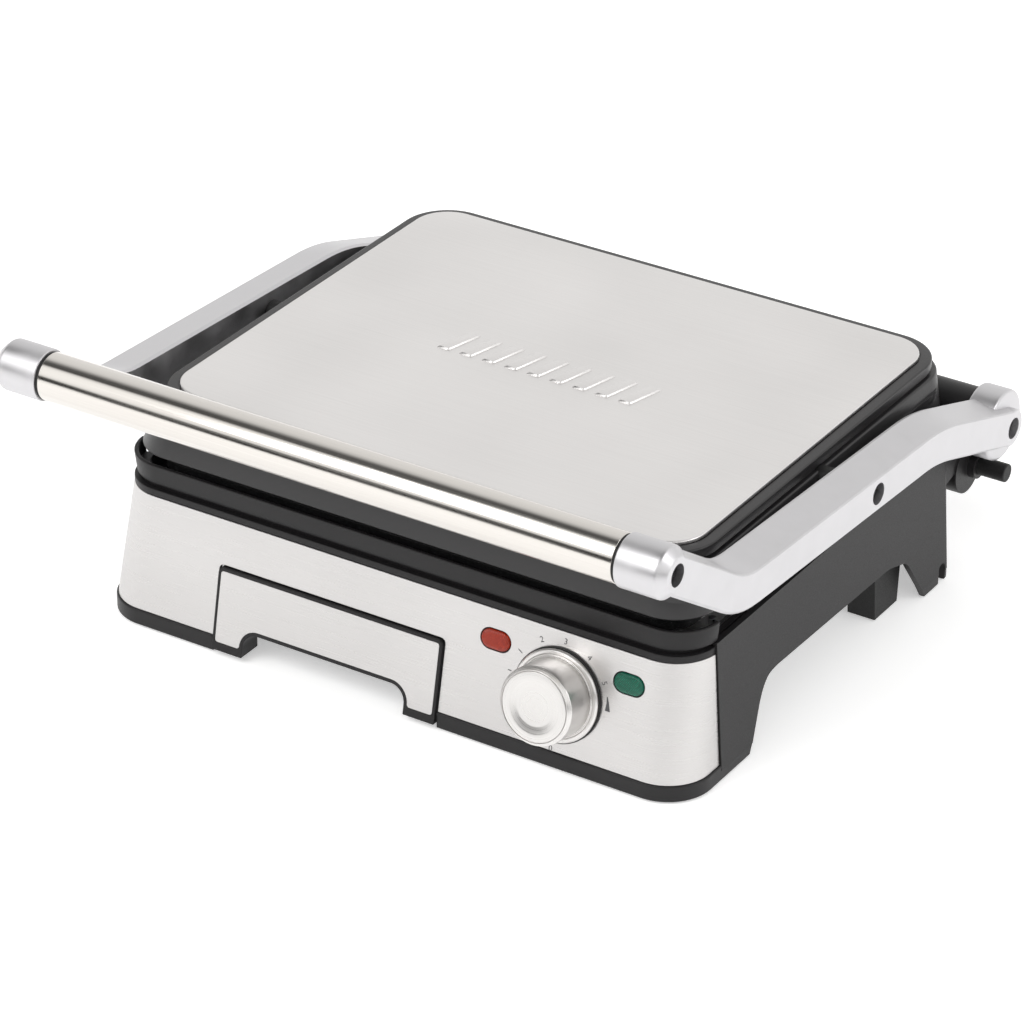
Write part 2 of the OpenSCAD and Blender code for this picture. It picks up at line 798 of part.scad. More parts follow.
// Socket screw along X: its head seats at the bottom of a well
module arm_screw(y, z, r, x_end) {
    seat = arm_out - well_d;
    difference() {
        union() {
            rod_x(seat, seat + head_h, y, z, head_r);
            rod_x(x_end, seat + eps, y, z, r);
        }
        translate([seat + head_h - 2.5, y, z]) rotate([0, 90, 0])
            cylinder(h = 4, r = 2.9, $fn = 6);
    }
}

module handle_screws() {
    color([0.4, 0.4, 0.42]) both() arm_screw(handle_y, handle_z, hole_r - 0.1, rod_end);
}

module hinge_screws() {
    color([0.4, 0.4, 0.42]) both()
        arm_screw(hinge_y, hinge_z, hole_r - 0.1, arm_out - well_d - 6);
}

module hinge_shaft() {
    color([0.6, 0.6, 0.62]) rod_x(-(arm_out - well_d - 6), arm_out - well_d - 6, hinge_y, hinge_z,
                                  shaft_r);
}

module pivot_pins() {
    color([0.4, 0.4, 0.42]) both() arm_screw(pivot_y, pivot_z, pivot_r, boss_start);
}

// ---- Lid ----

// The leaning skirt of the lid, stepped inwards by inset
module skirt_solid(inset, z0, z1) {
    hull() {
        slab(skirt_hw - inset, skirt_front + inset, skirt_low_rear - inset, skirt_r - inset,
             z0, eps, $fn = 48);
        slab(band_hw + 1.4 - inset, band_front - 2.4 + inset, skirt_rear - inset,
             skirt_r - inset, z1 - eps, eps, $fn = 48);
    }
}

// Cylinders at the four places where screws hold the upper plate
module lid_posts(r, z0, z1) {
    for (x = [-1, 1], y = [-1, 1])
        translate([x * lid_screw_x, plate_y + y * screw_y, z0]) cylinder(h = z1 - z0, r = r);
}

module lid_housing() {
    color([0.2, 0.2, 0.21]) difference() {
        union() {
            skirt_solid(0, lid_z, skirt_top);
            slab(band_hw - 1, band_front + 1, band_rear - 1, cover_r + band_w - 1,
                 skirt_top - eps, groove_h + 2 * eps);
            slab(band_hw, band_front, band_rear, cover_r + band_w, band_z, band_h);
            both() rod_x(boss_start, arm_in - 0.6, pivot_y, pivot_z, pivot_boss_r);
        }
        difference() {
            skirt_solid(lid_wall, lid_z - 0.5, skirt_top);
            both() rod_x(boss_start, skirt_hw, pivot_y, pivot_z, pivot_boss_r);
            lid_posts(post_r, plate_over + 0.1, tall);
        }
        difference() {
            slab(band_hw - lid_wall, band_front + lid_wall, band_rear - lid_wall, cover_r,
                 skirt_top - 2, band_top - roof_t - skirt_top + 2);
            lid_posts(post_r, plate_over + 0.1, tall);
        }
        both() rod_x(0, tall, pivot_y, pivot_z, bush_r);
        lid_posts(lid_screw_r + 0.1, 0, tall);
        lid_posts(lid_head_r + 0.2, band_top - lid_head_h - 0.1, tall);
    }
}

module lid_cover() {
    color([0.83, 0.83, 0.82]) difference() {
        slab(cover_hw, cover_front, cover_rear, cover_r, band_top, cover_h);
        slab(cover_hw - sheet_t, cover_front + sheet_t, cover_rear - sheet_t, cover_r - sheet_t,
             band_top - 1, cover_h + 1 - sheet_t);
    }
}

module upper_plate() {
    color([0.15, 0.15, 0.15]) translate([0, 0, plate_over]) mirror([0, 0, 1]) ribbed_plate(false);
}

module upper_element() {
    color([0.35, 0.33, 0.31]) element(plate_over + element_r + element_play);
}

module upper_reflector() {
    color([0.75, 0.75, 0.74]) difference() {
        slab(loop_r + 18, loop_y - loop_r - 14, leg_end + 8, plate_r, plate_over + 0.2,
             band_top - roof_t - plate_over - 0.4);
        slab(loop_r + 17.2, loop_y - loop_r - 13.2, leg_end + 7.2, plate_r - 0.8,
             plate_over, band_top - roof_t - plate_over - 1);
    }
}

module pivot_bushes() {
    color([0.85, 0.83, 0.75]) both() difference() {
        rod_x(boss_start, arm_in - 0.3, pivot_y, pivot_z, bush_r);
        rod_x(0, tall, pivot_y, pivot_z, pivot_r + run_clear);
    }
}

module lid_screws() {
    color([0.5, 0.5, 0.52]) union() {
        lid_posts(lid_head_r, band_top - lid_head_h, band_top);
        lid_posts(lid_screw_r, plate_over, band_top - 1);
    }
}

// ---- Knob ----

module knob_skirt() {
    color([0.72, 0.72, 0.72]) on_face(knob_x, knob_z) translate([0, 0, knob_gap]) difference() {
        cylinder(h = knob_skirt_t, r = knob_skirt_r);
        translate([0, 0, -1]) cylinder(h = 10, r = knob_socket_r + 0.1);
        translate([0, 0, knob_skirt_t - 0.8]) difference() {
            cylinder(h = 2, r = knob_skirt_r - 2);
            translate([0, 0, -1]) cylinder(h = 4, r = knob_skirt_r - 3);
        }
    }
}

module knob_cap() {
    color([0.8, 0.8, 0.8]) on_face(knob_x, knob_z) difference() {
        union() {
            translate([0, 0, knob_base]) cylinder(h = knob_out - knob_base, r = knob_r);
            translate([0, 0, knob_gap]) cylinder(h = knob_skirt_t + eps, r = knob_socket_r);
        }
        translate([0, 0, knob_out - 0.9]) cylinder(h = 2, r = knob_r - 2.2);
        translate([0, 0, -1]) cylinder(h = knob_out - 4, r = spindle_r + 0.03);
    }
}

module knob_spindle() {
    color([0.6, 0.6, 0.62]) on_face(knob_x, knob_z) translate([0, 0, -base_wall - 13])
        cylinder(h = base_wall + 13 + knob_out - 5.2, r = spindle_r);
}

// ---- Drawer ----

// Outline of the finger cut-out in the drawer's front, widened by grow
module grip_cut(grow) {
    translate([-drawer_x, 0, 0]) rotate([90, 0, 0]) linear_extrude(tall, center = true) {
        for (s = [-1, 1]) translate([s * (grip_w / 2 - grip_r - 4 + grow), grip_z - grip_r + grow])
            circle(grip_r);
        translate([-(grip_w / 2 - grip_r - 4 + grow), -20])
            square([grip_w - 2 * grip_r - 8 + 2 * grow, 20 + grip_z + grow]);
        polygon([[-grip_w / 2 - grow, -20], [grip_w / 2 + grow, -20],
                 [grip_w / 2 + grow, drawer_z + 3], [grip_w / 2 - 4 + grow, grip_z - grip_r + grow],
                 [-grip_w / 2 + 4 - grow, grip_z - grip_r + grow], [-grip_w / 2 - grow, drawer_z + 3]]);
    }
}

module drawer_slot(inset, z0, z1, y1) {
    block(-drawer_x - drawer_w / 2 + inset, -drawer_x + drawer_w / 2 - inset,
          foot_front - 20, y1, z0, z1);
}

module drawer_front() {
    color([0.16, 0.16, 0.17]) difference() {
        intersection() {
            body_solid(0, rim_z - foot_h, 0);
            drawer_slot(0, drawer_z, drawer_top, drawer_back);
        }
        grip_cut(0);
        intersection() {
            difference() {
                body_solid(-2, rim_z, 0);
                body_solid(sheet_t, rim_z, 1);
            }
            drawer_slot(drawer_frame, drawer_z + drawer_frame, drawer_top - drawer_frame, 0);
            difference() {
                drawer_slot(0, 0, tall, 0);
                grip_cut(2);
            }
        }
    }
}

module drawer_face() {
    color([0.82, 0.82, 0.81]) difference() {
        intersection() {
            body_solid(0, rim_z - foot_h, 0);
            drawer_slot(drawer_frame + 0.1, drawer_z + drawer_frame + 0.1,
                        drawer_top - drawer_frame - 0.1, drawer_back);
        }
        body_solid(sheet_t, rim_z, 1);
        grip_cut(2.1);
    }
}

module drawer_tray() {
    color([0.13, 0.13, 0.14]) translate([-drawer_x, 0, 0]) difference() {
        union() {
            block(-tray_hw, tray_hw, drawer_back, drawer_back + tray_l, tray_z, tray_top);
            block(-tray_hw - tray_flange, tray_hw + tray_flange, drawer_back, drawer_back + tray_l,
                  tray_top - 1.8, tray_top);
        }
        block(-tray_hw + tray_wall, tray_hw - tray_wall, drawer_back + tray_wall,
              drawer_back + tray_l - tray_wall, tray_z + tray_wall, tall);
    }
}

base_housing();
front_fascia();
bottom_cover();
drawer_rails();
top_deck();
lower_frame();
lower_plate();
lower_element();
lower_reflector();
drain_chute();
thermostat_body();
lamp_red();
lamp_green();
lamp_holders();
terminal_block();
thermal_fuse();
cord_gland();
rubber_feet();
base_screws();
hinge_bridge();
hinge_bushes();
arm_left();
arm_right();
handle_tube();
handle_rings();
handle_rod();
handle_screws();
hinge_shaft();
hinge_screws();
pivot_pins();
lid_housing();
lid_cover();
upper_plate();
upper_element();
upper_reflector();
pivot_bushes();
lid_screws();
knob_skirt();
knob_cap();
knob_spindle();
drawer_tray();
drawer_front();
drawer_face();
release_pin();
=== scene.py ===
# %% [markdown]
# # A panini press
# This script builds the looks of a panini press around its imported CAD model. The CAD gives
# every size and every moving body. Blender gives the rounded edges, the brushed steel, the
# cast aluminium and the moulded plastic.

# %% Load the frame and keep its box
import math

import bmesh
import bpy
from mathutils import Matrix, Vector


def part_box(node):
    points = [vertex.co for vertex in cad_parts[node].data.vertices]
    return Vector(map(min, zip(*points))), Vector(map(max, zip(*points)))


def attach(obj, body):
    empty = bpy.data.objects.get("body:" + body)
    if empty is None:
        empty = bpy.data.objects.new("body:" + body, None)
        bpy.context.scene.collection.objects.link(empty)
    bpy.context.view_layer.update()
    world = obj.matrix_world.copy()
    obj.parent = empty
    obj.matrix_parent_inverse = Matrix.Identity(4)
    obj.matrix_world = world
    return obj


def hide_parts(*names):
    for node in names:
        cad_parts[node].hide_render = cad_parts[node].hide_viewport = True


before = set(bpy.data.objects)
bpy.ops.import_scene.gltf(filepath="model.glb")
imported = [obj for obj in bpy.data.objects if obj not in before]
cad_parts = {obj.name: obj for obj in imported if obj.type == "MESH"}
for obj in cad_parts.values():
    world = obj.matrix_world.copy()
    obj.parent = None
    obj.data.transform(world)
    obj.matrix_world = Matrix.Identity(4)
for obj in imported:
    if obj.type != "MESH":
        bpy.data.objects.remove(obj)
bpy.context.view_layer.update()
MM = 0.001


def box(node):
    """Lowest and highest corner of a CAD node, in millimetres."""
    low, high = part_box(node)
    return low / MM, high / MM


# %% [markdown]
# ## The camera
# A product picture of a long, low kitchen appliance is taken from the front right, a little
# above, with a long lens, so that parallel edges stay nearly parallel.

# %% Camera
LENS_MM = 162.0
CAMERA_AT = Vector((1.0958, -1.7540, 1.2153))
RIGHT = Vector((0.8443, 0.5358, 0.0069))
UP = Vector((-0.2680, 0.4111, 0.8713))
BACK = Vector((0.4640, -0.7375, 0.4907))

camera_data = bpy.data.cameras.new("camera")
camera_data.lens = LENS_MM
camera_data.sensor_width = 36.0
camera_data.clip_start, camera_data.clip_end = 0.05, 50.0
camera = bpy.data.objects.new("camera", camera_data)
bpy.context.scene.collection.objects.link(camera)
turn = Matrix((RIGHT, UP, BACK)).transposed().to_4x4()
camera.matrix_world = Matrix.Translation(CAMERA_AT) @ turn
bpy.context.scene.camera = camera
print("camera stands", round(CAMERA_AT.length, 2), "m away")

# %% [markdown]
# ## The studio
# Steel has hardly any colour of its own: it shows what stands around it. Photographers light
# it with large white cards and leave dark gaps between them, which become the dark streaks
# on a tube. Here the sky is such a ring of cards. Its brightness depends only on the angle
# from the front horizon over the top to the back.

# %% A helper that adds one node
def add(tree, kind, links=None, **settings):
    """Adds a node, sets its properties, and sets or links its inputs."""
    node = tree.nodes.new(kind)
    for name, value in settings.items():
        setattr(node, name, value)
    for name, value in (links or {}).items():
        if isinstance(value, bpy.types.NodeSocket):
            tree.links.new(value, node.inputs[name])
        else:
            node.inputs[name].default_value = value
    return node


def linear(hex_colour):
    """An sRGB hex colour as linear RGBA."""
    parts = [int(hex_colour[i : i + 2], 16) / 255 for i in (1, 3, 5)]
    return [c / 12.92 if c < 0.04045 else ((c + 0.055) / 1.055) ** 2.4 for c in parts] + [1.0]


# %% Sky of white cards and dark gaps
SKY = [  # degrees from the front horizon over the top to the back, brightness
    (0, 0.10), (3, 0.04), (15, 0.04), (21, 1.0), (30, 1.25), (62, 1.25), (70, 1.0),
    (77, 0.09), (96, 0.12), (108, 0.62), (122, 0.92), (180, 1.0),
]
world = bpy.data.worlds.new("studio")
world.use_nodes = True
tree = world.node_tree
tree.nodes.clear()
direction = add(tree, "ShaderNodeTexCoord").outputs["Generated"]
axes = add(tree, "ShaderNodeSeparateXYZ", {0: direction}).outputs
forward = add(tree, "ShaderNodeMath", {0: axes["Y"], 1: -1.0}, operation="MULTIPLY").outputs[0]
angle = add(tree, "ShaderNodeMath", {0: axes["Z"], 1: forward}, operation="ARCTAN2").outputs[0]
angle = add(tree, "ShaderNodeMath", {0: angle}, operation="ABSOLUTE").outputs[0]
share = add(tree, "ShaderNodeMath", {0: angle, 1: math.pi}, operation="DIVIDE").outputs[0]
cards = add(tree, "ShaderNodeValToRGB", {0: share})
ramp = cards.color_ramp
for degrees, value in SKY[1:-1]:
    ramp.elements.new(degrees / 180)
for element, (degrees, value) in zip(ramp.elements, SKY):
    element.position = degrees / 180
    element.color = (value, value * 0.995, value * 0.985, 1.0)
sky = add(tree, "ShaderNodeBackground", {"Color": cards.outputs[0], "Strength": 1.0})
add(tree, "ShaderNodeOutputWorld", {"Surface": sky.outputs[0]})
bpy.context.scene.world = world
bpy.context.scene.view_settings.view_transform = "Standard"
print("sky has", len(SKY), "stops")

# %% Floor and lamps
FLOOR_HALF = 15.0
floor_mesh = bpy.data.meshes.new("floor")
floor_mesh.from_pydata(
    [(x * FLOOR_HALF, y * FLOOR_HALF, 0.0) for x, y in ((-1, -1), (1, -1), (1, 1), (-1, 1))],
    [], [(0, 1, 2, 3)],
)
floor = bpy.data.objects.new("floor", floor_mesh)
bpy.context.scene.collection.objects.link(floor)
paper = bpy.data.materials.new("white_paper")
paper.use_nodes = True
paper_shader = paper.node_tree.nodes["Principled BSDF"]
paper_shader.inputs["Base Color"].default_value = linear("#f6f6f6")
paper_shader.inputs["Roughness"].default_value = 1.0
paper_shader.inputs["Specular IOR Level"].default_value = 0.0
paper_shader.inputs["Emission Color"].default_value = linear("#ffffff")
paper_shader.inputs["Emission Strength"].default_value = 0.42
floor_mesh.materials.append(paper)

LAMPS = [  # name, place in metres, size in metres, power in watts
    ("front_card", (-0.6, -1.5, 1.6), 1.2, 14.0),
    ("right_card", (1.8, 0.2, 1.3), 1.0, 9.0),
]
for name, place, size, power in LAMPS:
    lamp_data = bpy.data.lights.new(name, "AREA")
    lamp_data.size, lamp_data.energy = size, power
    lamp = bpy.data.objects.new(name, lamp_data)
    bpy.context.scene.collection.objects.link(lamp)
    aim = Vector((0, 0, 0.1)) - Vector(place)
    lamp.matrix_world = Matrix.Translation(place) @ aim.to_track_quat("-Z", "Y").to_matrix().to_4x4()
print("lamps:", [name for name, *_ in LAMPS])

# %% [markdown]
# ## Finishes
# Each finish is one material. A pattern is worked out from a real size in millimetres: the
# scratches of brushed steel, the sand of a casting, the spark-eroded grain of a mould. All
# patterns read Object coordinates, which are metres, so a scale of 1000 / size gives one
# feature for each size.

# %% Shared start of a material
def finish_of(name, colour, roughness, metallic=0.0, **sockets):
    """A material with its Principled shader; sockets are plain values for it."""
    material = bpy.data.materials.new(name)
    material.use_nodes = True
    shader = material.node_tree.nodes["Principled BSDF"]
    shader.inputs["Base Color"].default_value = linear(colour)
    shader.inputs["Roughness"].default_value = roughness
    shader.inputs["Metallic"].default_value = metallic
    for socket, value in sockets.items():
        shader.inputs[socket.replace("_", " ")].default_value = value
    return material, material.node_tree, shader


def grain(tree, feature_mm, detail=2.0, place=None):
    """Noise whose features have a given size along X, Y and Z, in millimetres."""
    start = place or add(tree, "ShaderNodeTexCoord").outputs["Object"]
    scale = [1000.0 / v for v in feature_mm]
    spot = add(tree, "ShaderNodeMapping", {"Vector": start, "Scale": scale}).outputs[0]
    return add(tree, "ShaderNodeTexNoise", {"Vector": spot, "Scale": 1.0, "Detail": detail}).outputs[0]


def vary(tree, amount, low, high):
    """A number between low and high, driven by a 0 to 1 amount."""
    return add(
        tree, "ShaderNodeMapRange",
        {"Value": amount, "From Min": 0.3, "From Max": 0.7, "To Min": low, "To Max": high},
    ).outputs[0]


def tint(tree, amount, dark, light):
    """A colour between two hex colours."""
    return add(
        tree, "ShaderNodeMix", {"Factor": amount, "A": linear(dark), "B": linear(light)},
        data_type="RGBA",
    ).outputs["Result"]


def relief(tree, shader, height, depth_mm, strength=1.0):
    """Turns a height of 0 to 1 into a bump that is depth_mm deep."""
    bump = add(
        tree, "ShaderNodeBump",
        {"Height": height, "Distance": depth_mm * MM, "Strength": strength},
    )
    tree.links.new(bump.outputs[0], shader.inputs["Normal"])


# %% [markdown]
# ### Brushed stainless steel
# The fascia, the drawer's face and the lid's cover are stainless sheet that went under an
# abrasive belt. The belt leaves short parallel scratches, which blur a reflection across
# them much more than along them. Real scratches are about 0.05 mm apart, too fine to show,
# so they are drawn 0.3 to 0.4 mm apart. The fascia's run along X and so do the lid's.

# %% Brushed steel
def brushed_steel(name, dark, light, roughness, scratch_mm, depth_mm):
    material, tree, shader = finish_of(name, light, roughness, metallic=1.0)
    scratches = grain(tree, scratch_mm, detail=3.0)
    clouds = grain(tree, [90, 90, 60], detail=1.0)
    both_sizes = add(
        tree, "ShaderNodeMath", {0: scratches, 1: clouds}, operation="ADD"
    ).outputs[0]
    half = add(tree, "ShaderNodeMath", {0: both_sizes, 1: 2.0}, operation="DIVIDE").outputs[0]
    mixed = vary(tree, half, 0.0, 1.0)
    tree.links.new(tint(tree, mixed, dark, light), shader.inputs["Base Color"])
    tree.links.new(
        vary(tree, scratches, roughness - 0.05, roughness + 0.07), shader.inputs["Roughness"]
    )
    relief(tree, shader, scratches, depth_mm)
    return material


# Both are the same stainless sheet. The front's copy is given darker colours to paint the shade on the fascia
# and drawer face, and the lid's copy lighter colours to paint the light on its top. The scratch sizes and
# directions are the sheets' own.
shaded_front_steel = brushed_steel("brushed_stainless_fascia", "#c8c6c5", "#d2d0cf", 0.30, [60, 60, 0.3], 0.002)
lit_top_steel = brushed_steel("satin_stainless_lid", "#dcdad9", "#e9e7e6", 0.34, [40, 0.4, 10], 0.002)
print("steel finishes:", shaded_front_steel.name, lit_top_steel.name)

# %% [markdown]
# ### Polished tube and cast aluminium
# The handle is a polished stainless tube with faint drawing lines along it. The arms are
# die-cast aluminium, tumbled and lightly polished: the skin has shallow waves some
# millimetres wide and a fine sandy grain.

# %% Tube, castings, turned aluminium and plain hardware
def polished_tube():
    material, tree, shader = finish_of("polished_stainless_tube", "#d8d4cf", 0.13, metallic=1.0)
    lines = grain(tree, [180, 0.7, 0.7], detail=2.0)
    tree.links.new(vary(tree, lines, 0.09, 0.2), shader.inputs["Roughness"])
    tree.links.new(tint(tree, lines, "#cfcac5", "#e2dfda"), shader.inputs["Base Color"])
    relief(tree, shader, lines, 0.004)
    return material


def cast_aluminium():
    material, tree, shader = finish_of("tumbled_cast_aluminium", "#cdccce", 0.42, metallic=1.0)
    waves = grain(tree, [14, 14, 14], detail=2.0)
    sand = grain(tree, [0.9, 0.9, 0.9], detail=3.0)
    tree.links.new(vary(tree, waves, 0.36, 0.5), shader.inputs["Roughness"])
    tree.links.new(tint(tree, waves, "#c6c5c7", "#d9d8da"), shader.inputs["Base Color"])
    height = add(
        tree, "ShaderNodeMath", {0: waves, 1: 6.0, 2: sand}, operation="MULTIPLY_ADD"
    ).outputs[0]
    relief(tree, shader, height, 0.005)
    return material


def turned_aluminium(name, roughness, centre, axis_turn):
    """Rings of a lathe tool round the knob's axis, 0.7 mm apart."""
    material, tree, shader = finish_of(name, "#dcdbd9", roughness, metallic=1.0)
    spot = add(tree, "ShaderNodeTexCoord").outputs["Object"]
    centred = add(
        tree, "ShaderNodeMapping",
        {"Vector": spot, "Location": centre, "Rotation": axis_turn}, vector_type="TEXTURE",
    ).outputs[0]
    axes = add(tree, "ShaderNodeSeparateXYZ", {0: centred}).outputs
    flat = add(tree, "ShaderNodeCombineXYZ", {0: axes[0], 1: axes[1]}).outputs[0]
    radius = add(tree, "ShaderNodeVectorMath", {0: flat}, operation="LENGTH").outputs["Value"]
    rings = grain(tree, [0.7, 0.7, 0.7], 2.0, add(tree, "ShaderNodeCombineXYZ", {0: radius}).outputs[0])
    tree.links.new(vary(tree, rings, roughness - 0.06, roughness + 0.08), shader.inputs["Roughness"])
    tree.links.new(tint(tree, rings, "#cfcdcb", "#e6e4e2"), shader.inputs["Base Color"])
    relief(tree, shader, rings, 0.006)
    return material


def hardware(name, dark, light, roughness, grain_mm=2.0, metallic=1.0):
    """Zinc-plated or bare small parts: a mottled colour and a mottled gloss."""
    material, tree, shader = finish_of(name, light, roughness, metallic=metallic)
    spots = grain(tree, [grain_mm] * 3, detail=3.0)
    tree.links.new(tint(tree, spots, dark, light), shader.inputs["Base Color"])
    tree.links.new(vary(tree, spots, roughness - 0.08, roughness + 0.1), shader.inputs["Roughness"])
    relief(tree, shader, spots, 0.01)
    return material


tube_steel = polished_tube()
arm_metal = cast_aluminium()
plated_steel = hardware("zinc_plated_steel", "#a9acaf", "#c9cbcd", 0.34)
pan_metal = hardware("aluminised_sheet", "#b7b8b8", "#d4d4d3", 0.4, 8.0)
heater_sheath = hardware("annealed_heater_sheath", "#4a4440", "#6b625b", 0.5, 5.0)
screw_steel = hardware("black_oxide_steel", "#1d1d1f", "#333336", 0.4, 1.2)
print("metals made")

# %% [markdown]
# ### Moulded plastic, coating, rubber and lenses
# The housing is black glass-filled PBT with a satin spark-eroded grain of about half a
# millimetre. The lid's skirt came from a polished mould, so it is glossier. The plates have
# a sprayed non-stick coating with an orange-peel skin and fine light flecks. The lamp lenses
# are tinted polycarbonate with prisms moulded on the inside.

# %% Plastics, coating, rubber
def moulded_plastic(name, dark, light, roughness, grain_mm, depth_mm, gloss=0.5):
    material, tree, shader = finish_of(name, light, roughness, IOR=1.5, Specular_IOR_Level=gloss)
    skin = grain(tree, [grain_mm] * 3, detail=2.0)
    flow = grain(tree, [70, 70, 45], detail=1.0)
    tree.links.new(tint(tree, flow, dark, light), shader.inputs["Base Color"])
    tree.links.new(vary(tree, skin, roughness - 0.05, roughness + 0.08), shader.inputs["Roughness"])
    relief(tree, shader, skin, depth_mm)
    return material


def non_stick():
    material, tree, shader = finish_of("non_stick_coating", "#1b1b1c", 0.36, IOR=1.4)
    peel = grain(tree, [1.6, 1.6, 1.6], detail=1.0)
    flecks = grain(tree, [0.5, 0.5, 0.5], detail=0.0)
    bright = add(
        tree, "ShaderNodeMapRange",
        {"Value": flecks, "From Min": 0.68, "From Max": 0.74, "To Min": 0.0, "To Max": 1.0},
    ).outputs[0]
    tree.links.new(tint(tree, bright, "#19191a", "#4b4b4d"), shader.inputs["Base Color"])
    tree.links.new(vary(tree, peel, 0.3, 0.45), shader.inputs["Roughness"])
    relief(tree, shader, peel, 0.03)
    return material


housing_plastic = moulded_plastic("satin_black_pbt", "#1b1a1b", "#201f20", 0.42, 0.6, 0.006, gloss=0.3)
glossy_plastic = moulded_plastic("polished_black_pbt", "#232223", "#282728", 0.34, 0.7, 0.003)
inner_plastic = moulded_plastic("dull_black_pbt", "#0b0b0b", "#121212", 0.6, 0.8, 0.02)
pale_plastic = moulded_plastic("ivory_phenolic", "#c9c3b2", "#ded9ca", 0.45, 0.9, 0.01)
foot_rubber = moulded_plastic("black_rubber", "#0d0d0d", "#191919", 0.8, 0.7, 0.02)
ink = moulded_plastic("pad_print_ink", "#3f3f41", "#5a5a5c", 0.6, 0.5, 0.002)
plate_coating = non_stick()

# %% Lamp lenses
PRISM_MM = 1.3  # distance between prisms, wider than the real 0.8 mm so that they show


def lens(name, deep, bright, slant):
    """Tinted polycarbonate with slanted prisms, with a faint even painted glow that stands in for light
    coming through the lens.
    """
    # The emission is painted light: the lens glows evenly, as if light came through it, though the lamp is
    # not lit.
    material, tree, shader = finish_of(
        name, bright, 0.22, IOR=1.45, Emission_Color=linear(bright), Emission_Strength=0.12
    )
    spot = add(tree, "ShaderNodeTexCoord").outputs["Object"]
    turned = add(
        tree, "ShaderNodeMapping",
        {"Vector": spot, "Rotation": (0, math.radians(slant), 0), "Scale": [1000 / PRISM_MM] * 3},
    ).outputs[0]
    prisms = add(
        tree, "ShaderNodeTexWave", {"Vector": turned, "Scale": 0.5, "Distortion": 2.0, "Detail": 2.0}
    ).outputs["Fac"]
    specks = grain(tree, [0.8, 0.8, 0.8], detail=2.0)
    mixed = add(tree, "ShaderNodeMath", {0: prisms, 1: specks}, operation="MULTIPLY").outputs[0]
    tree.links.new(tint(tree, vary(tree, mixed, 0.0, 1.0), deep, bright), shader.inputs["Base Color"])
    relief(tree, shader, prisms, 0.1)
    return material


red_lens = lens("red_polycarbonate", "#6d1404", "#d2401c", 40)
green_lens = lens("green_polycarbonate", "#003a2c", "#0c8467", -35)
print("plastics and lenses made")

# %% [markdown]
# ## Helpers for meshes
# Most shells of the press are rounded rectangles stacked from bottom to top, so one helper
# makes such an outline at a height and another joins outlines into a skin. Sizes are in
# millimetres here and become metres in the mesh.

# %% Mesh helpers
CORNER_STEPS = 16


def outline(hw, front, rear, r, z, rear_r=None, steps=CORNER_STEPS):
    """Rounded rectangle at height z, counter-clockwise from above."""
    back = r if rear_r is None else rear_r
    points = []
    for x, y, reach, start in (
        (hw - r, front + r, r, -90), (hw - back, rear - back, back, 0),
        (back - hw, rear - back, back, 90), (r - hw, front + r, r, 180),
    ):
        for i in range(steps + 1):
            a = math.radians(start + 90 * i / steps)
            points.append((x + reach * math.cos(a), y + reach * math.sin(a), z))
    return points


def skin(loops, ring=False):
    """Faces between neighbouring loops, with both ends capped, or joined as a ring."""
    n, count = len(loops[0]), len(loops)
    points = [p for loop in loops for p in loop]
    rows = range(count if ring else count - 1)
    faces = [
        (k * n + i, k * n + (i + 1) % n, (k + 1) % count * n + (i + 1) % n, (k + 1) % count * n + i)
        for k in rows for i in range(n)
    ]
    if not ring:
        faces += [tuple(reversed(range(n))), tuple(range((count - 1) * n, count * n))]
    return points, faces


def rounded(path, radius, steps=4):
    """A 2D path with its inner corners rounded."""
    out = [tuple(path[0])]
    for a, b, c in zip(path, path[1:], path[2:]):
        a, b, c = Vector(a), Vector(b), Vector(c)
        reach = min(radius, (a - b).length * 0.49, (c - b).length * 0.49)
        start, end = b + (a - b).normalized() * reach, b + (c - b).normalized() * reach
        for i in range(steps + 1):
            t = i / steps
            out.append(tuple(start * (1 - t) ** 2 + b * 2 * t * (1 - t) + end * t * t))
    return out + [tuple(path[-1])]


def rounded_loop(path, radius, steps=4):
    """A closed 2D path with all its corners rounded."""
    wrapped = [path[-1], *path, path[0]]
    return rounded(wrapped, radius, steps)[1:-1]


def solid(name, points, faces, material=None):
    """A mesh object from points in millimetres."""
    mesh = bpy.data.meshes.new(name)
    mesh.from_pydata([[v * MM for v in p] for p in points], [], faces)
    mesh.validate()
    outward = bmesh.new()
    outward.from_mesh(mesh)
    bmesh.ops.recalc_face_normals(outward, faces=outward.faces)
    outward.to_mesh(mesh)
    outward.free()
    if material:
        mesh.materials.append(material)
    made = bpy.data.objects.new(name, mesh)
    bpy.context.scene.collection.objects.link(made)
    return made


def block(low, high):
    """Points and faces of a box."""
    points = [(x, y, z) for z in (low[2], high[2]) for x, y in (
        (low[0], low[1]), (high[0], low[1]), (high[0], high[1]), (low[0], high[1]))]
    return skin([points[:4], points[4:]])


def prism(path, place, depth):
    """A 2D path raised along the third axis of a matrix, from depth[0] to depth[1]."""
    loops = [[tuple(place @ Vector((x, y, d))) for x, y in path] for d in depth]
    return skin(loops)


def turned(profile, place, steps=64):
    """A (radius, height) profile spun round a matrix's third axis and capped."""
    turns = [2 * math.pi * i / steps for i in range(steps)]
    return skin([
        [tuple(place @ Vector((r * math.cos(a), r * math.sin(a), h))) for a in turns] for r, h in profile
    ])


def settle(obj):
    """Turns the modifiers' result into the object's plain mesh."""
    bpy.context.view_layer.update()
    graph = bpy.context.evaluated_depsgraph_get()
    mesh = bpy.data.meshes.new_from_object(obj.evaluated_get(graph))
    obj.modifiers.clear()
    obj.data = mesh
    return obj


def carve(obj, *parts, operation="DIFFERENCE"):
    """Cuts, adds or keeps what (points, faces) parts say, one after the other."""
    for points, faces in parts:
        tool = solid("tool", points, faces)
        change = obj.modifiers.new("carve", "BOOLEAN")
        change.object, change.operation, change.solver = tool, operation, "EXACT"
        settle(obj)
        bpy.data.objects.remove(tool)
    return obj


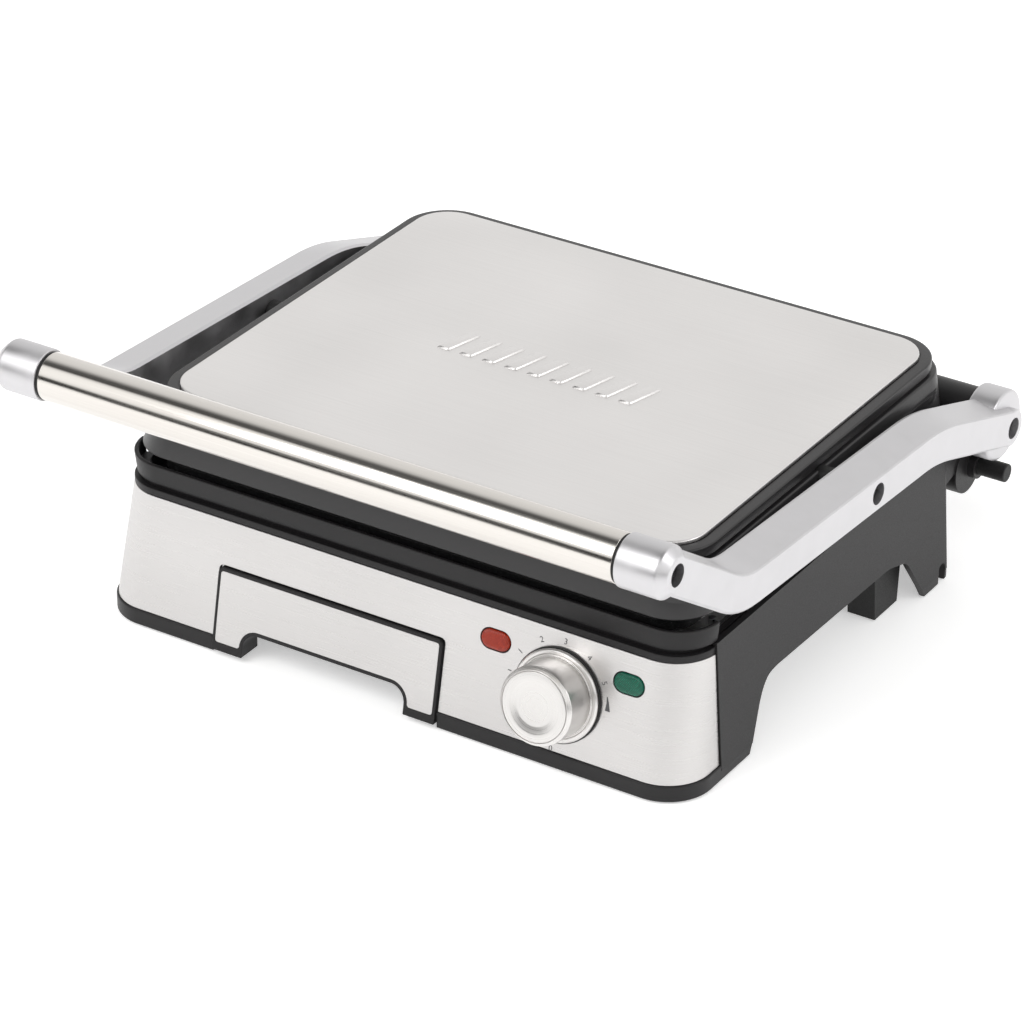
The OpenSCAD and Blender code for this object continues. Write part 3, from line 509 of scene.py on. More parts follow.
def shade(obj, angle=32):
    """Smooth shading that stays sharp at edges steeper than angle."""
    mesh = obj.data
    mesh.polygons.foreach_set("use_smooth", [True] * len(mesh.polygons))
    mesh.set_sharp_from_angle(angle=math.radians(angle))
    return obj


def soften(obj, width_mm, steps=2, angle=35):
    """Rounds every edge steeper than angle, and keeps flat faces looking flat."""
    bevel = obj.modifiers.new("edge", "BEVEL")
    bevel.width, bevel.segments = width_mm * MM, steps
    bevel.limit_method, bevel.angle_limit = "ANGLE", math.radians(angle)
    bevel.use_clamp_overlap = True
    flat = obj.modifiers.new("flat", "WEIGHTED_NORMAL")
    flat.weight, flat.keep_sharp = 50, True
    obj.data.polygons.foreach_set("use_smooth", [True] * len(obj.data.polygons))
    return settle(obj)


def join(name, parts, material):
    """One object from several (points, faces) parts that don't touch."""
    points, faces = [], []
    for more_points, more_faces in parts:
        start = len(points)
        points += more_points
        faces += [tuple(i + start for i in face) for face in more_faces]
    return solid(name, points, faces, material)


def finish_piece(obj, body, nodes):
    """The piece rides on its body and stands for its CAD nodes."""
    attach(obj, body)
    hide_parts(*nodes)
    print(f"{obj.name}: {len(obj.data.polygons)} faces on {body}")
    return obj


def plain(obj):
    """(points, faces) of an object, in millimetres."""
    mesh = obj.data
    return [tuple(v.co / MM) for v in mesh.vertices], [tuple(f.vertices) for f in mesh.polygons]


def mirrored(part):
    """The same (points, faces) on the other side of X = 0."""
    points, faces = part
    return [(-x, y, z) for x, y, z in points], [tuple(reversed(face)) for face in faces]


ALONG_X = Matrix(((0, 0, 1), (1, 0, 0), (0, 1, 0))).to_4x4()  # maps x, y, depth to Y, Z, X


def at(x, y, z, turn=None):
    """A place in millimetres with a turn."""
    return Matrix.Translation((x, y, z)) @ (turn or Matrix.Identity(4))


# %% [markdown]
# ## Sizes that the CAD gives
# The shells are measured from the CAD nodes' boxes, so the looks follow the frame. Only what
# a box can't tell, such as a wall or a corner radius, is written here, in millimetres.

# %% Sizes of the shells
base_low, base_high = box("base_housing")
fascia_low, fascia_high = box("front_fascia")
deck_low, deck_high = box("top_deck")
frame_low, frame_high = box("lower_frame")
lid_low, lid_high = box("lid_housing")
cover_low, cover_high = box("lid_cover")
NECK_H = 2.1  # height of the neck between deck and frame
SHEET = 0.8  # thickness of the steel fascia
WALL = 2.5
BASE_R = 24.0
REAR_R = 4.0  # the rear corners are nearly square
FAR, TALL = 300, 100  # past the sides and over the base, for parts that cut
foot_hw, foot_front = fascia_high.x, fascia_low.y
rim_z, deck_z = fascia_low.z, fascia_high.z
top_hw, top_front = deck_high.x, deck_low.y
deck_top = deck_high.z - NECK_H
fascia_end = fascia_high.y
base_rear = base_high.y
lean = math.atan2(top_front - foot_front, deck_z - rim_z)
print("fascia leans", round(math.degrees(lean), 1), "degrees")


def middle(node):
    """The middle of a CAD node's box, in millimetres."""
    return [(a + b) / 2 for a, b in zip(*box(node))]


def face_plane(z):
    """Where the leaning front is, in Y, at height z."""
    return foot_front + (z - rim_z) * math.tan(lean)


def wall_loop(inset, z):
    """The leaning wall of the base at height z, stepped inwards."""
    k = (z - rim_z) / (deck_z - rim_z)
    return outline(
        foot_hw + (top_hw - foot_hw) * k - inset, foot_front + (top_front - foot_front) * k + inset,
        base_rear - inset, BASE_R - inset, z, REAR_R - inset,
    )


def on_fascia(x, z):
    """A place on the leaning fascia: third axis out of it, first axis to the right."""
    return at(x, face_plane(z), z, Matrix.Rotation(math.pi / 2 - lean, 4, "X"))


# %% [markdown]
# ## The fascia
# On the real press this is one strip of stainless sheet, bent round both front corners and
# laid on the leaning front. It could be a curved plane with thickness, but a closed skin of
# stacked outlines gives exact corners, and the openings are cut as a punch would cut them.

# %% Fascia
front_low, front_high = box("drawer_front")
knob_x = middle("knob_skirt")[0]
KNOB_Z, KNOB_HOLE_R = 39.2, 8
LAMP_DX, LAMP_Z = 38.0, 56.1  # sideways from the knob, and height
LAMP_W, LAMP_H = 16.4, 10.0
PLAY = 0.7  # gap round the drawer and the lamps
WINDOW_R = 3.0
FRONT = (90, 160)  # from behind to in front of the fascia


def pill(w, h, steps=12):
    """Outline of a lamp: two half circles and two straight sides."""
    path = []
    for side in (1, -1):
        for i in range(steps + 1):
            a = math.pi * (i / steps - 0.5) + (0 if side == 1 else math.pi)
            path.append((side * (w - h) / 2 + h / 2 * math.cos(a), h / 2 * math.sin(a)))
    return path


UPRIGHT = Matrix(((1, 0, 0), (0, 0, -1), (0, 1, 0))).to_4x4()  # maps x, y, depth to X, Z, -Y


def window():
    """The drawer's opening, seen from the front. It is open below the foot."""
    x0, x1, z1 = front_low.x - PLAY, front_high.x + PLAY, front_high.z + PLAY
    return [(x0, -5), (x1, -5)] + rounded([(x1, -5), (x1, z1), (x0, z1), (x0, -5)], WINDOW_R)[1:-1]


levels = [rim_z + 0.05, (rim_z + deck_z) / 2, deck_z]
outside, inside = [wall_loop(0, z) for z in levels], [wall_loop(SHEET, z) for z in reversed(levels)]
fascia = solid("fascia", *skin(outside + inside, ring=True), shaded_front_steel)
lamp_hole = pill(LAMP_W + 2 * PLAY, LAMP_H + 2 * PLAY)
carve(
    fascia,
    block((-FAR, fascia_end, 0), (FAR, FAR, TALL)),
    prism(window(), UPRIGHT, FRONT),
    turned([(KNOB_HOLE_R, -5), (KNOB_HOLE_R, 5)], on_fascia(knob_x, KNOB_Z), 48),
    *[prism(lamp_hole, on_fascia(knob_x + side * LAMP_DX, LAMP_Z), (-5, 5)) for side in (-1, 1)],
)
soften(fascia, 0.22)
finish_piece(fascia, "base", ["front_fascia"])

# %% [markdown]
# ## The base moulding
# One black moulding carries everything: a rim round the foot, side panels that stand a little
# proud of the fascia, arches between the legs and notches in the rear legs. It is built as a
# union of simple solids and then cut, the way a mould's cavity is.

# %% Rim, side panels and core
RIM_STEP = 1.0  # the rim stands this far out of the fascia
FOOT = base_low.z
PANEL_TOP = deck_top + 2.0
PANEL_FLARE = 0.3  # the panel's top stands this far out of the deck


def panel_loop(inset, z):
    """The side panel, flush with the rim below and with the deck above."""
    k = (z - rim_z) / (PANEL_TOP - rim_z)
    return outline(
        foot_hw + RIM_STEP - inset + (top_hw + PANEL_FLARE - foot_hw - RIM_STEP) * k,
        foot_front + (top_front - foot_front) * k + inset, base_rear - inset, BASE_R - inset, z, REAR_R,
    )


rim_edge = rounded([(1.6, FOOT), (0, FOOT + 0.2), (0, rim_z), (2.2, rim_z + 0.04)], 1.0)
rim = skin([
    outline(
        foot_hw + RIM_STEP - i, foot_front - RIM_STEP + i, base_rear - i,
        BASE_R + RIM_STEP - i, z, REAR_R - i,
    )
    for i, z in rim_edge
])
base = solid("base_moulding", *rim, housing_plastic)
PANEL_GAP = 0.35  # dark line between the fascia's end and the side panel
panels = solid("panels", *skin([panel_loop(0, z) for z in (rim_z - 3, 40, PANEL_TOP)]))
carve(panels, block((-FAR, -FAR, 0), (FAR, fascia_end + PANEL_GAP, TALL)))
core = skin([wall_loop(SHEET + 0.1, rim_z - 3), wall_loop(SHEET + 0.1, deck_z - 0.1)])
carve(base, core, plain(panels), operation="UNION")
bpy.data.objects.remove(panels)
print("base block:", len(base.data.polygons), "faces")

# %% Cavity, arches and slots of the base
LEG_BACK, ARCH_Z = -72.0, 36.0  # where the front leg ends, and the height of the arch
REAR_LEG_W = 28
arch = [  # Y, Z
    (LEG_BACK, -1), (LEG_BACK + 12, ARCH_Z - 9), (LEG_BACK + 16, ARCH_Z - 3),
    (LEG_BACK + 21, ARCH_Z + 1), (LEG_BACK + 28, ARCH_Z + 2), (base_rear - 66, ARCH_Z),
    (base_rear - 47, ARCH_Z - 5), (base_rear - 25, -1),
]
slot_far, slot_near, SLOT_Z = base_rear - 5, base_rear - 12, 12
u_slot = rounded_loop([(slot_near, -3), (slot_far, -3), (slot_far, SLOT_Z), (slot_near, SLOT_Z)], 3.4)
foot_inside = foot_hw - WALL, foot_front + WALL, base_rear - WALL, BASE_R - WALL
carve(
    base,
    skin([
        outline(*foot_inside, -1, REAR_R - WALL), outline(*foot_inside, rim_z + 1, REAR_R - WALL),
        wall_loop(WALL, rim_z + 1.2), wall_loop(WALL, PANEL_TOP + 5),
    ]),
    prism(rounded_loop(arch, 4.0), ALONG_X, (-FAR, FAR)),
    block((REAR_LEG_W - foot_hw, base_rear - 20, -1), (foot_hw - REAR_LEG_W, base_rear + 10, ARCH_Z)),
    prism(u_slot, ALONG_X, (-FAR, FAR)),
    prism(window(), UPRIGHT, FRONT),
)
soften(base, 0.7)
finish_piece(base, "base", ["base_housing"])

# %% [markdown]
# ## Deck and frame
# A low deck closes the base. A black neck and the frame of the lower plate stand on it. Their
# thin bright lines in the light come from small rounded edges, so each shell has its own
# profile instead of one bevel for all.

# %% Deck with its neck
DECK_R = BASE_R - 1
FRAME_R = 24.0
SIDE_IN = 2.7  # behind the fascia's end the deck steps in by this much
NECK_IN = 4.2  # depth of the dark groove under the frame
NECK_T = 3
deck_foot = deck_z + 0.04
neck_in = top_hw - frame_high.x + NECK_IN
deck_edge = rounded([(1.4, deck_foot), (0.5, deck_foot), (0.5, deck_top), (neck_in, deck_top)], 0.5)
deck_edge += [(neck_in, deck_top + 0.3), (neck_in, deck_high.z), (neck_in + NECK_T, deck_high.z)]
deck_edge += [(neck_in + NECK_T, deck_top - 1.2), (neck_in + NECK_T, deck_foot)]
deck = solid("deck", *skin([
    outline(top_hw - i, top_front + i, frame_high.y - i, DECK_R - i, z) for i, z in deck_edge
], ring=True), housing_plastic)
carve(deck, *[
    block((x0, fascia_end + 0.3, 0), (x1, FAR, TALL))
    for x0, x1 in ((top_hw - SIDE_IN, FAR), (-FAR, SIDE_IN - top_hw))
])
shade(deck)
finish_piece(deck, "base", ["top_deck"])

# %% Frame round the lower plate
FRAME_WALL, FRAME_FOOT, FRAME_LEAN = 2.3, 8.0, 1.3
FRAME_OUT = 0.3  # the bumper's bow past the CAD shape's straight wall
SIDE_STEP = 7.5  # behind the bumper, what lies within this of the side is cut off
bumper_end = fascia_end + 2.5
ledge_z, frame_foot = box("lower_plate")[0].z, frame_low.z + 0.05
frame_edge = rounded([
    (FRAME_FOOT, frame_foot), (FRAME_LEAN, frame_foot), (0, frame_high.z), (FRAME_WALL, frame_high.z),
    (FRAME_WALL, ledge_z), (FRAME_FOOT, ledge_z), (FRAME_FOOT, frame_low.z + 1),
], 0.7)
lower_frame = solid("lower_frame_shell", *skin([
    outline(frame_high.x + FRAME_OUT - i, frame_low.y + i - FRAME_OUT, frame_high.y - i, FRAME_R - i, z)
    for i, z in frame_edge
], ring=True), housing_plastic)
carve(lower_frame, *[
    block((x0, bumper_end, 0), (x1, FAR, TALL + 20))
    for x0, x1 in ((frame_high.x - SIDE_STEP, FAR), (-FAR, SIDE_STEP - frame_high.x))
])
shade(lower_frame)
finish_piece(lower_frame, "base", ["lower_frame"])

# %% [markdown]
# ## The lid
# The lid's moulding has a leaning, glossy skirt, a groove, and a flat rim round the pressed
# steel cover. One closed profile runs from the rim over the skirt to the inside, and every
# point of it becomes one rounded rectangle.

# %% Lid moulding
SKIRT_H, GROOVE_H = 21.8, 1.5
BAND_W, BAND_R, BAND_EDGE = 6.6, 26.6, 1.1
GROOVE_IN, SEAT_IN, SEAT_DROP = 1.3, 5.9, 0.5
SKIRT_DROP = 1.4  # the moulded edge hangs this much lower than the CAD shape
band_hw, band_front, band_rear = cover_high.x + BAND_W, cover_low.y - BAND_W, cover_high.y + BAND_W
skirt_top = lid_low.z + SKIRT_H
band_z = skirt_top + GROOVE_H
skirt_low = (frame_high.x - 3.5, frame_low.y + 2.5, frame_high.y + 3.5, FRAME_R)
skirt_high = (band_hw + 1.4, band_front - 2.4, band_rear + 0.9, FRAME_R)


def lid_loop(level, inset, z):
    """One outline of the lid: level 0 is the skirt's foot, 1 its top and 2 the rim band."""
    if level <= 1:
        hw, front, rear, r = [a + (b - a) * level for a, b in zip(skirt_low, skirt_high)]
    else:
        hw, front, rear, r = band_hw, band_front, band_rear, BAND_R
    return outline(hw - inset, front + inset, rear - inset, r - inset, z)


skirt_foot = lid_low.z - SKIRT_DROP
inside_top = box("upper_plate")[1].z + 6
skirt_side = rounded([(3.0, skirt_foot), (0, skirt_foot), (0, skirt_top), (3.4, skirt_top)], 1.2)
loops = [lid_loop(0, 3.0, inside_top), lid_loop(0, 3.0, lid_low.z + 1)]
loops += [lid_loop(min(1, max(0, (z - lid_low.z) / SKIRT_H)), i, z) for i, z in skirt_side]
loops += [lid_loop(2, GROOVE_IN, z) for z in (skirt_top + 0.02, band_z - 0.02)]
band_side = [(GROOVE_IN, band_z), (0, band_z), (0, lid_high.z), (SEAT_IN, lid_high.z)]
loops += [lid_loop(2, i, z) for i, z in rounded(band_side, BAND_EDGE)]
loops += [lid_loop(2, i, lid_high.z - SEAT_DROP) for i in (SEAT_IN, 20)]
lid = solid("lid_moulding", *skin(loops), glossy_plastic)
shade(lid, 40)
finish_piece(lid, "lid", ["lid_housing"])

# %% [markdown]
# ## The steel cover and its mark
# The cover is drawn from one sheet: its edge rolls over in a tight radius, which gives the
# bright line all round. The real cover carries an embossed word. Here a plain mark of slanted
# grill bars is embossed in its place.

# %% Cover
COVER_R, COVER_EDGE = 20.0, 1.6
cover_edge = rounded([(0, cover_low.z), (0, cover_high.z), (9.0, cover_high.z)], COVER_EDGE, 6)
cover = solid("steel_cover", *skin([
    outline(cover_high.x - i, cover_low.y + i, cover_high.y - i, COVER_R - i * 0.9, z) for i, z in cover_edge
]), lit_top_steel)
shade(cover, 50)
finish_piece(cover, "lid", ["lid_cover"])

# %% [markdown]
# ### A tool for rows
# The mark's bars and the plates' ribs repeat at even steps. They could be copied in a loop. A
# Geometry Nodes tree does it with named sizes that can be changed later: it puts one piece on
# every point of a line, makes the copies real and gives them their finish. The result is
# turned into a plain mesh.

# %% Row tool
def row_tree():
    """Copies of one piece along a line, with their finish."""
    tree = bpy.data.node_groups.new("even_row", "GeometryNodeTree")
    for name, kind in (
        ("Piece", "NodeSocketObject"), ("Count", "NodeSocketInt"), ("Start", "NodeSocketVector"),
        ("Step", "NodeSocketVector"), ("Finish", "NodeSocketMaterial"),
    ):
        tree.interface.new_socket(name, in_out="INPUT", socket_type=kind)
    tree.interface.new_socket("Geometry", in_out="OUTPUT", socket_type="NodeSocketGeometry")
    given = add(tree, "NodeGroupInput").outputs
    line = add(
        tree, "GeometryNodeMeshLine",
        {"Count": given["Count"], "Start Location": given["Start"], "Offset": given["Step"]}, mode="OFFSET",
    ).outputs[0]
    piece = add(tree, "GeometryNodeObjectInfo", {"Object": given["Piece"]}).outputs["Geometry"]
    copies = add(tree, "GeometryNodeInstanceOnPoints", {"Points": line, "Instance": piece}).outputs[0]
    real = add(tree, "GeometryNodeRealizeInstances", {"Geometry": copies}).outputs[0]
    done = add(tree, "GeometryNodeSetMaterial", {"Geometry": real, "Material": given["Finish"]}).outputs[0]
    add(tree, "NodeGroupOutput", {"Geometry": done})
    return tree


ROW = row_tree()
ROW_INPUTS = {item.name: item.identifier for item in ROW.interface.items_tree if item.in_out == "INPUT"}


def row(name, part, count, start, step, material):
    """count copies of a (points, faces) part, from start by step, as one plain mesh."""
    piece = solid("piece", *part)
    shade(piece, 35)
    made = bpy.data.objects.new(name, bpy.data.meshes.new(name))
    bpy.context.scene.collection.objects.link(made)
    change = made.modifiers.new("row", "NODES")
    change.node_group = ROW
    values = {
        "Piece": piece, "Count": count, "Start": [v * MM for v in start],
        "Step": [v * MM for v in step], "Finish": material,
    }
    for key, value in values.items():
        change[ROW_INPUTS[key]] = value
    settle(made)
    bpy.data.objects.remove(piece)
    return made


def stepped(path, levels):
    """A 2D outline raised through (inset, z) levels, drawn in towards its middle."""
    mx = sum(x for x, y in path) / len(path)
    my = sum(y for x, y in path) / len(path)
    hw, hd = max(x for x, y in path) - mx, max(y for x, y in path) - my
    return skin([
        [(mx + (x - mx) * (1 - i / hw), my + (y - my) * (1 - i / hd), z) for x, y in path] for i, z in levels
    ])


print("row tool inputs:", sorted(ROW_INPUTS))

# %% Embossed mark
BARS, BAR_W, BAR_D, BAR_STEP, SLANT = 9, 7.5, 23.0, 13.6, 6.0
MARK_Y = 21.5
bar = rounded_loop([
    (-BAR_W / 2 - SLANT / 2, -BAR_D / 2), (BAR_W / 2 - SLANT / 2, -BAR_D / 2),
    (BAR_W / 2 + SLANT / 2, BAR_D / 2), (SLANT / 2 - BAR_W / 2, BAR_D / 2)], 1.6)
top = cover_high.z
bar_steps = [(0, top - 0.4), (0, top + 0.1), (0.9, top + 0.85), (1.3, top + 0.95)]  # inset, height
mark = row(
    "grill_bar_mark", stepped(bar, bar_steps), BARS,
    (-BAR_STEP * (BARS - 1) / 2, MARK_Y, 0), (BAR_STEP, 0, 0), lit_top_steel,
)
shade(mark, 25)
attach(mark, "lid")
print("mark:", len(mark.data.polygons), "faces")

# %% [markdown]
# ## The ribbed plates
# Each plate is cast aluminium with a low lip all round and ribs that brown the bread. The
# body is a stack of outlines and the ribs are one bar in a row, which keeps both editable.
# The same two pieces, turned upside down, make the upper plate. The lower one has a drain.

# %% Plates
PLATE_T, RIB_H, RIB_W, RIB_STEP, LIP = 4.6, 4.4, 4.0, 10.0, 5.0
PLATE_R, PLATE_EDGE = 18.0, 0.8
DRAIN_W, DRAIN_D, DRAIN_Y = 22.0, 8.0, 9
SIDE_ROOM, FRONT_ROOM, REAR_ROOM = 16, 16, 12  # from the plate's edges to the ribs
drawer_x = middle("drawer_front")[0]


def plate(name, low, high, up, body):
    """A plate and its ribs. up is true for the lower one."""
    hw, front, rear = high.x, low.y, high.y
    z0, side = (low.z, 1) if up else (high.z, -1)
    lip_z, e = PLATE_T + RIB_H * 0.6, PLATE_EDGE
    edge = [(e, 0), (0, e), (0, lip_z - e), (e, lip_z)]
    edge += [(LIP - e, lip_z), (LIP, lip_z - e), (LIP + 0.2, PLATE_T)]
    made = solid(name, *skin([
        outline(hw - i, front + i, rear - i, PLATE_R - i, z0 + side * z) for i, z in edge
    ]), plate_coating)
    if up:
        drain = [(x + drawer_x, y + front + DRAIN_Y) for x, y in pill(DRAIN_W, DRAIN_D)]
        carve(made, prism(drain, Matrix.Identity(4), (low.z - 5, high.z + 5)))
    shade(made, 35)
    count = 2 * int((hw - SIDE_ROOM) / RIB_STEP) + 1
    long = rear - REAR_ROOM - front - FRONT_ROOM
    rib = rounded_loop([(-RIB_W / 2, 0), (RIB_W / 2, 0), (RIB_W / 2, long), (-RIB_W / 2, long)], 1.8)
    rib_top = PLATE_T + RIB_H
    rib_steps = [(0, PLATE_T - 0.3), (0.25, PLATE_T + 3.2), (0.7, rib_top - 0.25), (1.2, rib_top)]
    ribs = row(
        name + "_ribs", stepped(rib, [(i, z0 + side * z) for i, z in rib_steps]), count,
        (-(count - 1) / 2 * RIB_STEP, front + FRONT_ROOM, 0), (RIB_STEP, 0, 0), plate_coating,
    )
    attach(ribs, body)
    finish_piece(made, body, [name.replace("_casting", "")])
    print(name, "has", count, "ribs")


plate("lower_plate_casting", *box("lower_plate"), True, "base")
plate("upper_plate_casting", *box("upper_plate"), False, "lid")

# %% [markdown]
# ## The handle
# The handle is a length of polished tube between the arms, with a thin dark ring at each end
# that hides the joint. Both could be cylinders with a bevel. A spun profile gives the same
# shape with its rounded rim in one step.

# %% Handle tube and its rings
def axle(y, z):
    """A place whose third axis runs along X, through y and z."""
    return at(0, y, z, Matrix.Rotation(math.pi / 2, 4, "Y"))


tube_low, tube_high = box("handle_tube")
ring_end = box("handle_rings")[1].x
handle_y, handle_z = middle("handle_tube")[1:]
tube_r = (tube_high.z - tube_low.z) / 2
handle_axis = axle(handle_y, handle_z)
tube_in = tube_r - 1.0
tube_ends = [(tube_in, tube_low.x), (tube_r, tube_low.x), (tube_r, tube_high.x), (tube_in, tube_high.x)]
tube = solid("handle_tube_skin", *turned(rounded(tube_ends, 0.5), handle_axis, 96), tube_steel)
shade(tube, 40)
finish_piece(tube, "arms", ["handle_tube"])
ROD_R, RING_DROP = 6, 0.35  # the rings lie a little lower than the tube
ring_r = tube_r - RING_DROP
ring_ends = [(ROD_R, tube_high.x), (ring_r, tube_high.x), (ring_r, ring_end), (ROD_R, ring_end)]
ring = turned(rounded(ring_ends, 0.4), handle_axis, 64)
rings = join("grip_rings", [ring, mirrored(ring)], inner_plastic)
shade(rings, 40)
finish_piece(rings, "arms", ["handle_rings"])

# %% [markdown]
# ## The arms
# Each arm is a casting that follows a bent line from the handle to the hinge. Its top slopes
# up towards the lid and meets the outer face in a crease. It could be a curve with a bevel
# object, but a section swept in code keeps the section upright in the bends. The edges are
# drawn in the section, because a Bevel modifier smears the shading where boss and hub join.

# %% Arm section swept along its line
arm_low, arm_high = box("arm_right")
hinge_y, hinge_z = middle("hinge_bushes")[1:]
ARM_T, ARM_H, BEND_R = 21.0, 20.4, 16.0
arm_out = arm_high.x
arm_in = arm_out - ARM_T
arm_line = [  # Y, Z: handle, front bend, rear bend, hinge
    Vector((handle_y, handle_z)), Vector((handle_y + 63.5, handle_z - 43.0)),
    Vector((hinge_y - 82.5, hinge_z + 27.9)), Vector((hinge_y, hinge_z)),
]
section = [  # x, height over the line, counter-clockwise seen from the front end
    (arm_in, -ARM_H / 2 + 1), (arm_out - 1.6, -ARM_H / 2), (arm_out - 0.3, -ARM_H / 2 + 1.4),
    (arm_out - 0.3, ARM_H / 2 - 1.6), (arm_out - 1.0, ARM_H / 2 - 0.9), (arm_in + 2, ARM_H / 2 + 2.0),
    (arm_in, ARM_H / 2 + 1.2),
]


def bend_points(line, reach, steps=8):
    """The line with its bends rounded, as (point, upward unit vector) pairs."""
    path = [Vector(p) for p in rounded(line, reach, steps)]
    made = []
    for i, point in enumerate(path):
        before, after = path[max(i - 1, 0)], path[min(i + 1, len(path) - 1)]
        along = (after - before).normalized()
        made.append((point, Vector((-along.y, along.x))))
    return made


arm_loops = [
    [(x, point.x + up.x * h, point.y + up.y * h) for x, h in section]
    for point, up in bend_points(arm_line, BEND_R)
]
arm_right = solid("right_arm", *skin(arm_loops), arm_metal)
print("arm section swept through", len(arm_loops), "places")

# %% Boss, hub and wells
BOSS_R, BOSS_CHAMFER, HUB_R, HUB_L, END_R = 13.4, 5.0, 19.4, 15, 10.2
WELL_R, WELL_D = 5.8, 9.0
boss_in, boss_out, hub_in, end_out = arm_low.x, arm_out - 0.2, arm_in - 0.9, arm_out - 0.3
boss = [(9.0, boss_in), (BOSS_R, boss_in), (BOSS_R, arm_out - BOSS_CHAMFER), (8.9, boss_out), (5, boss_out)]
hub = [(5.2, hub_in), (HUB_R, hub_in), (HUB_R, arm_in + HUB_L), (8, arm_in + HUB_L + 1)]
end = [(5, arm_in), (END_R, arm_in), (END_R, end_out), (5, end_out)]
hinge_axis = axle(hinge_y, hinge_z)
carve(
    arm_right, turned(rounded(boss, 1.0, 8), handle_axis, 64), turned(rounded(hub, 2.0, 10), hinge_axis, 64),
    turned(rounded(end, 1.5, 10), hinge_axis, 64), operation="UNION",
)
well = [(WELL_R, arm_out - WELL_D), (WELL_R, arm_out + 4)]
wells = [handle_axis, hinge_axis, axle(*middle("pivot_bushes")[1:])]
carve(arm_right, *[turned(well, place, 40) for place in wells])
arm_left = solid("left_arm", *mirrored(plain(arm_right)), arm_metal)
CREASE = 13  # degrees: flat faces meet in a sharp line, round ones stay smooth
for arm, node in ((arm_right, "arm_right"), (arm_left, "arm_left")):
    shade(arm, CREASE)
    finish_piece(arm, "arms", [node])

# %% [markdown]
# ## The drip drawer's front
# The drawer catches fat from the lower plate. Its black moulded front leans with the fascia
# and stands a little proud of it, with a steel face let into it and a cut-out for the fingers
# below. Both are the same 2D path raised along Y, so the face always fits its recess.

# %% Drawer front and face
DRAWER_FRAME, DRAWER_FOOT, DRAWER_PROUD = 1.7, 4.5, 1.8
RECESS, FACE_BACK, FACE_DROP = 0.8, 0.75, 0.15  # depths behind the drawer's front plane
FRONT_R, FACE_R = 3.0, 1.6
GRIP_HW, GRIP_Z, GRIP_R, GRIP_STEPS = 49.0, 17.5, 8.5, 10
GRIP_RIM, FOOT_RIM = 2.0, 3.0  # black rim over the cut-out, and beside it at the feet
x0, x1, z0, z1 = front_low.x, front_high.x, front_low.z, front_high.z


def grip(grow):
    """The finger cut-out from right to left, as a path in X and Z."""
    w, top, r = GRIP_HW + grow, GRIP_Z + grow, GRIP_R + grow
    turns = [math.radians(90 * i / GRIP_STEPS) for i in range(GRIP_STEPS + 1)]
    half = [(w, z0)] + [(w - r + r * math.cos(a), top - r + r * math.sin(a)) for a in turns]
    return [(drawer_x + x, z) for x, z in half] + [(drawer_x - x, z) for x, z in reversed(half)]


def leaning_prism(path, front_out, back_y):
    """A path in X and Z, its front on the leaning plane and its back upright."""
    near = [(x, face_plane(z) - front_out, z) for x, z in path]
    far = [(x, back_y(z), z) for x, z in path]
    return skin([far, near])


drawer_path = rounded([(x0, z0 + 9), (x0, z1), (x1, z1), (x1, z0 + 9)], FRONT_R)
drawer_path += [(x1, z0)] + grip(0) + [(x0, z0)]
drawer_front = solid(
    "drawer_frame", *leaning_prism(drawer_path[::-1], DRAWER_PROUD, lambda z: front_high.y), housing_plastic
)
left, right, low_z, high_z = x0 + DRAWER_FRAME, x1 - DRAWER_FRAME, z0 + DRAWER_FOOT, z1 - DRAWER_FRAME
foot_x = GRIP_HW + FOOT_RIM
recess = rounded(
    [(left, low_z + 9), (left, high_z), (right, high_z), (right, low_z), (drawer_x + foot_x, low_z)], FACE_R
)
recess += [(x, z) for x, z in grip(GRIP_RIM) if z > low_z + 0.3]
recess += rounded([(drawer_x - foot_x, low_z), (left, low_z), (left, low_z + 9)], FACE_R)
carve(drawer_front, leaning_prism(recess[::-1], 5.0, lambda z: face_plane(z) - DRAWER_PROUD + RECESS))
soften(drawer_front, 0.4)
finish_piece(drawer_front, "drawer", ["drawer_front"])
face = solid("drawer_steel", *leaning_prism(
    recess[::-1], DRAWER_PROUD - FACE_DROP, lambda z: face_plane(z) - DRAWER_PROUD + FACE_BACK), shaded_front_steel)
soften(face, 0.15)
finish_piece(face, "drawer", ["drawer_face"])

# %% [markdown]
# ## The knob
# The knob is turned aluminium on a plastic carrier. Its disc stands on a near-black ring, which paints the
# shadow in the gap behind the disc as a dark line beside it. The grip has a bright chamfer, a fine groove and
# a slightly dished face. Each of the three is one profile spun round the knob's axis, as a lathe
# would cut it. That gives the groove and the dish without cutting anything.

# %% Knob disc on its ring of painted shadow
DISC_R, DISC_T, RING_T = 24.3, 3.0, 1.5
CAP_R, CAP_OUT, CAP_CHAMFER = 20.3, 22.4, 1.7
knob_place = on_fascia(knob_x, KNOB_Z)
knob_turn = (math.pi / 2 - lean, 0, 0)
knob_centre = tuple(v * MM for v in knob_place.translation)
knob_metal = turned_aluminium("turned_aluminium", 0.3, knob_centre, knob_turn)


def knob_part(name, profile, edge, material):
    """A (radius, height) profile with rounded corners, spun round the knob's axis."""
    return shade(solid(name, *turned(rounded(profile, edge), knob_place, 96), material), 40)
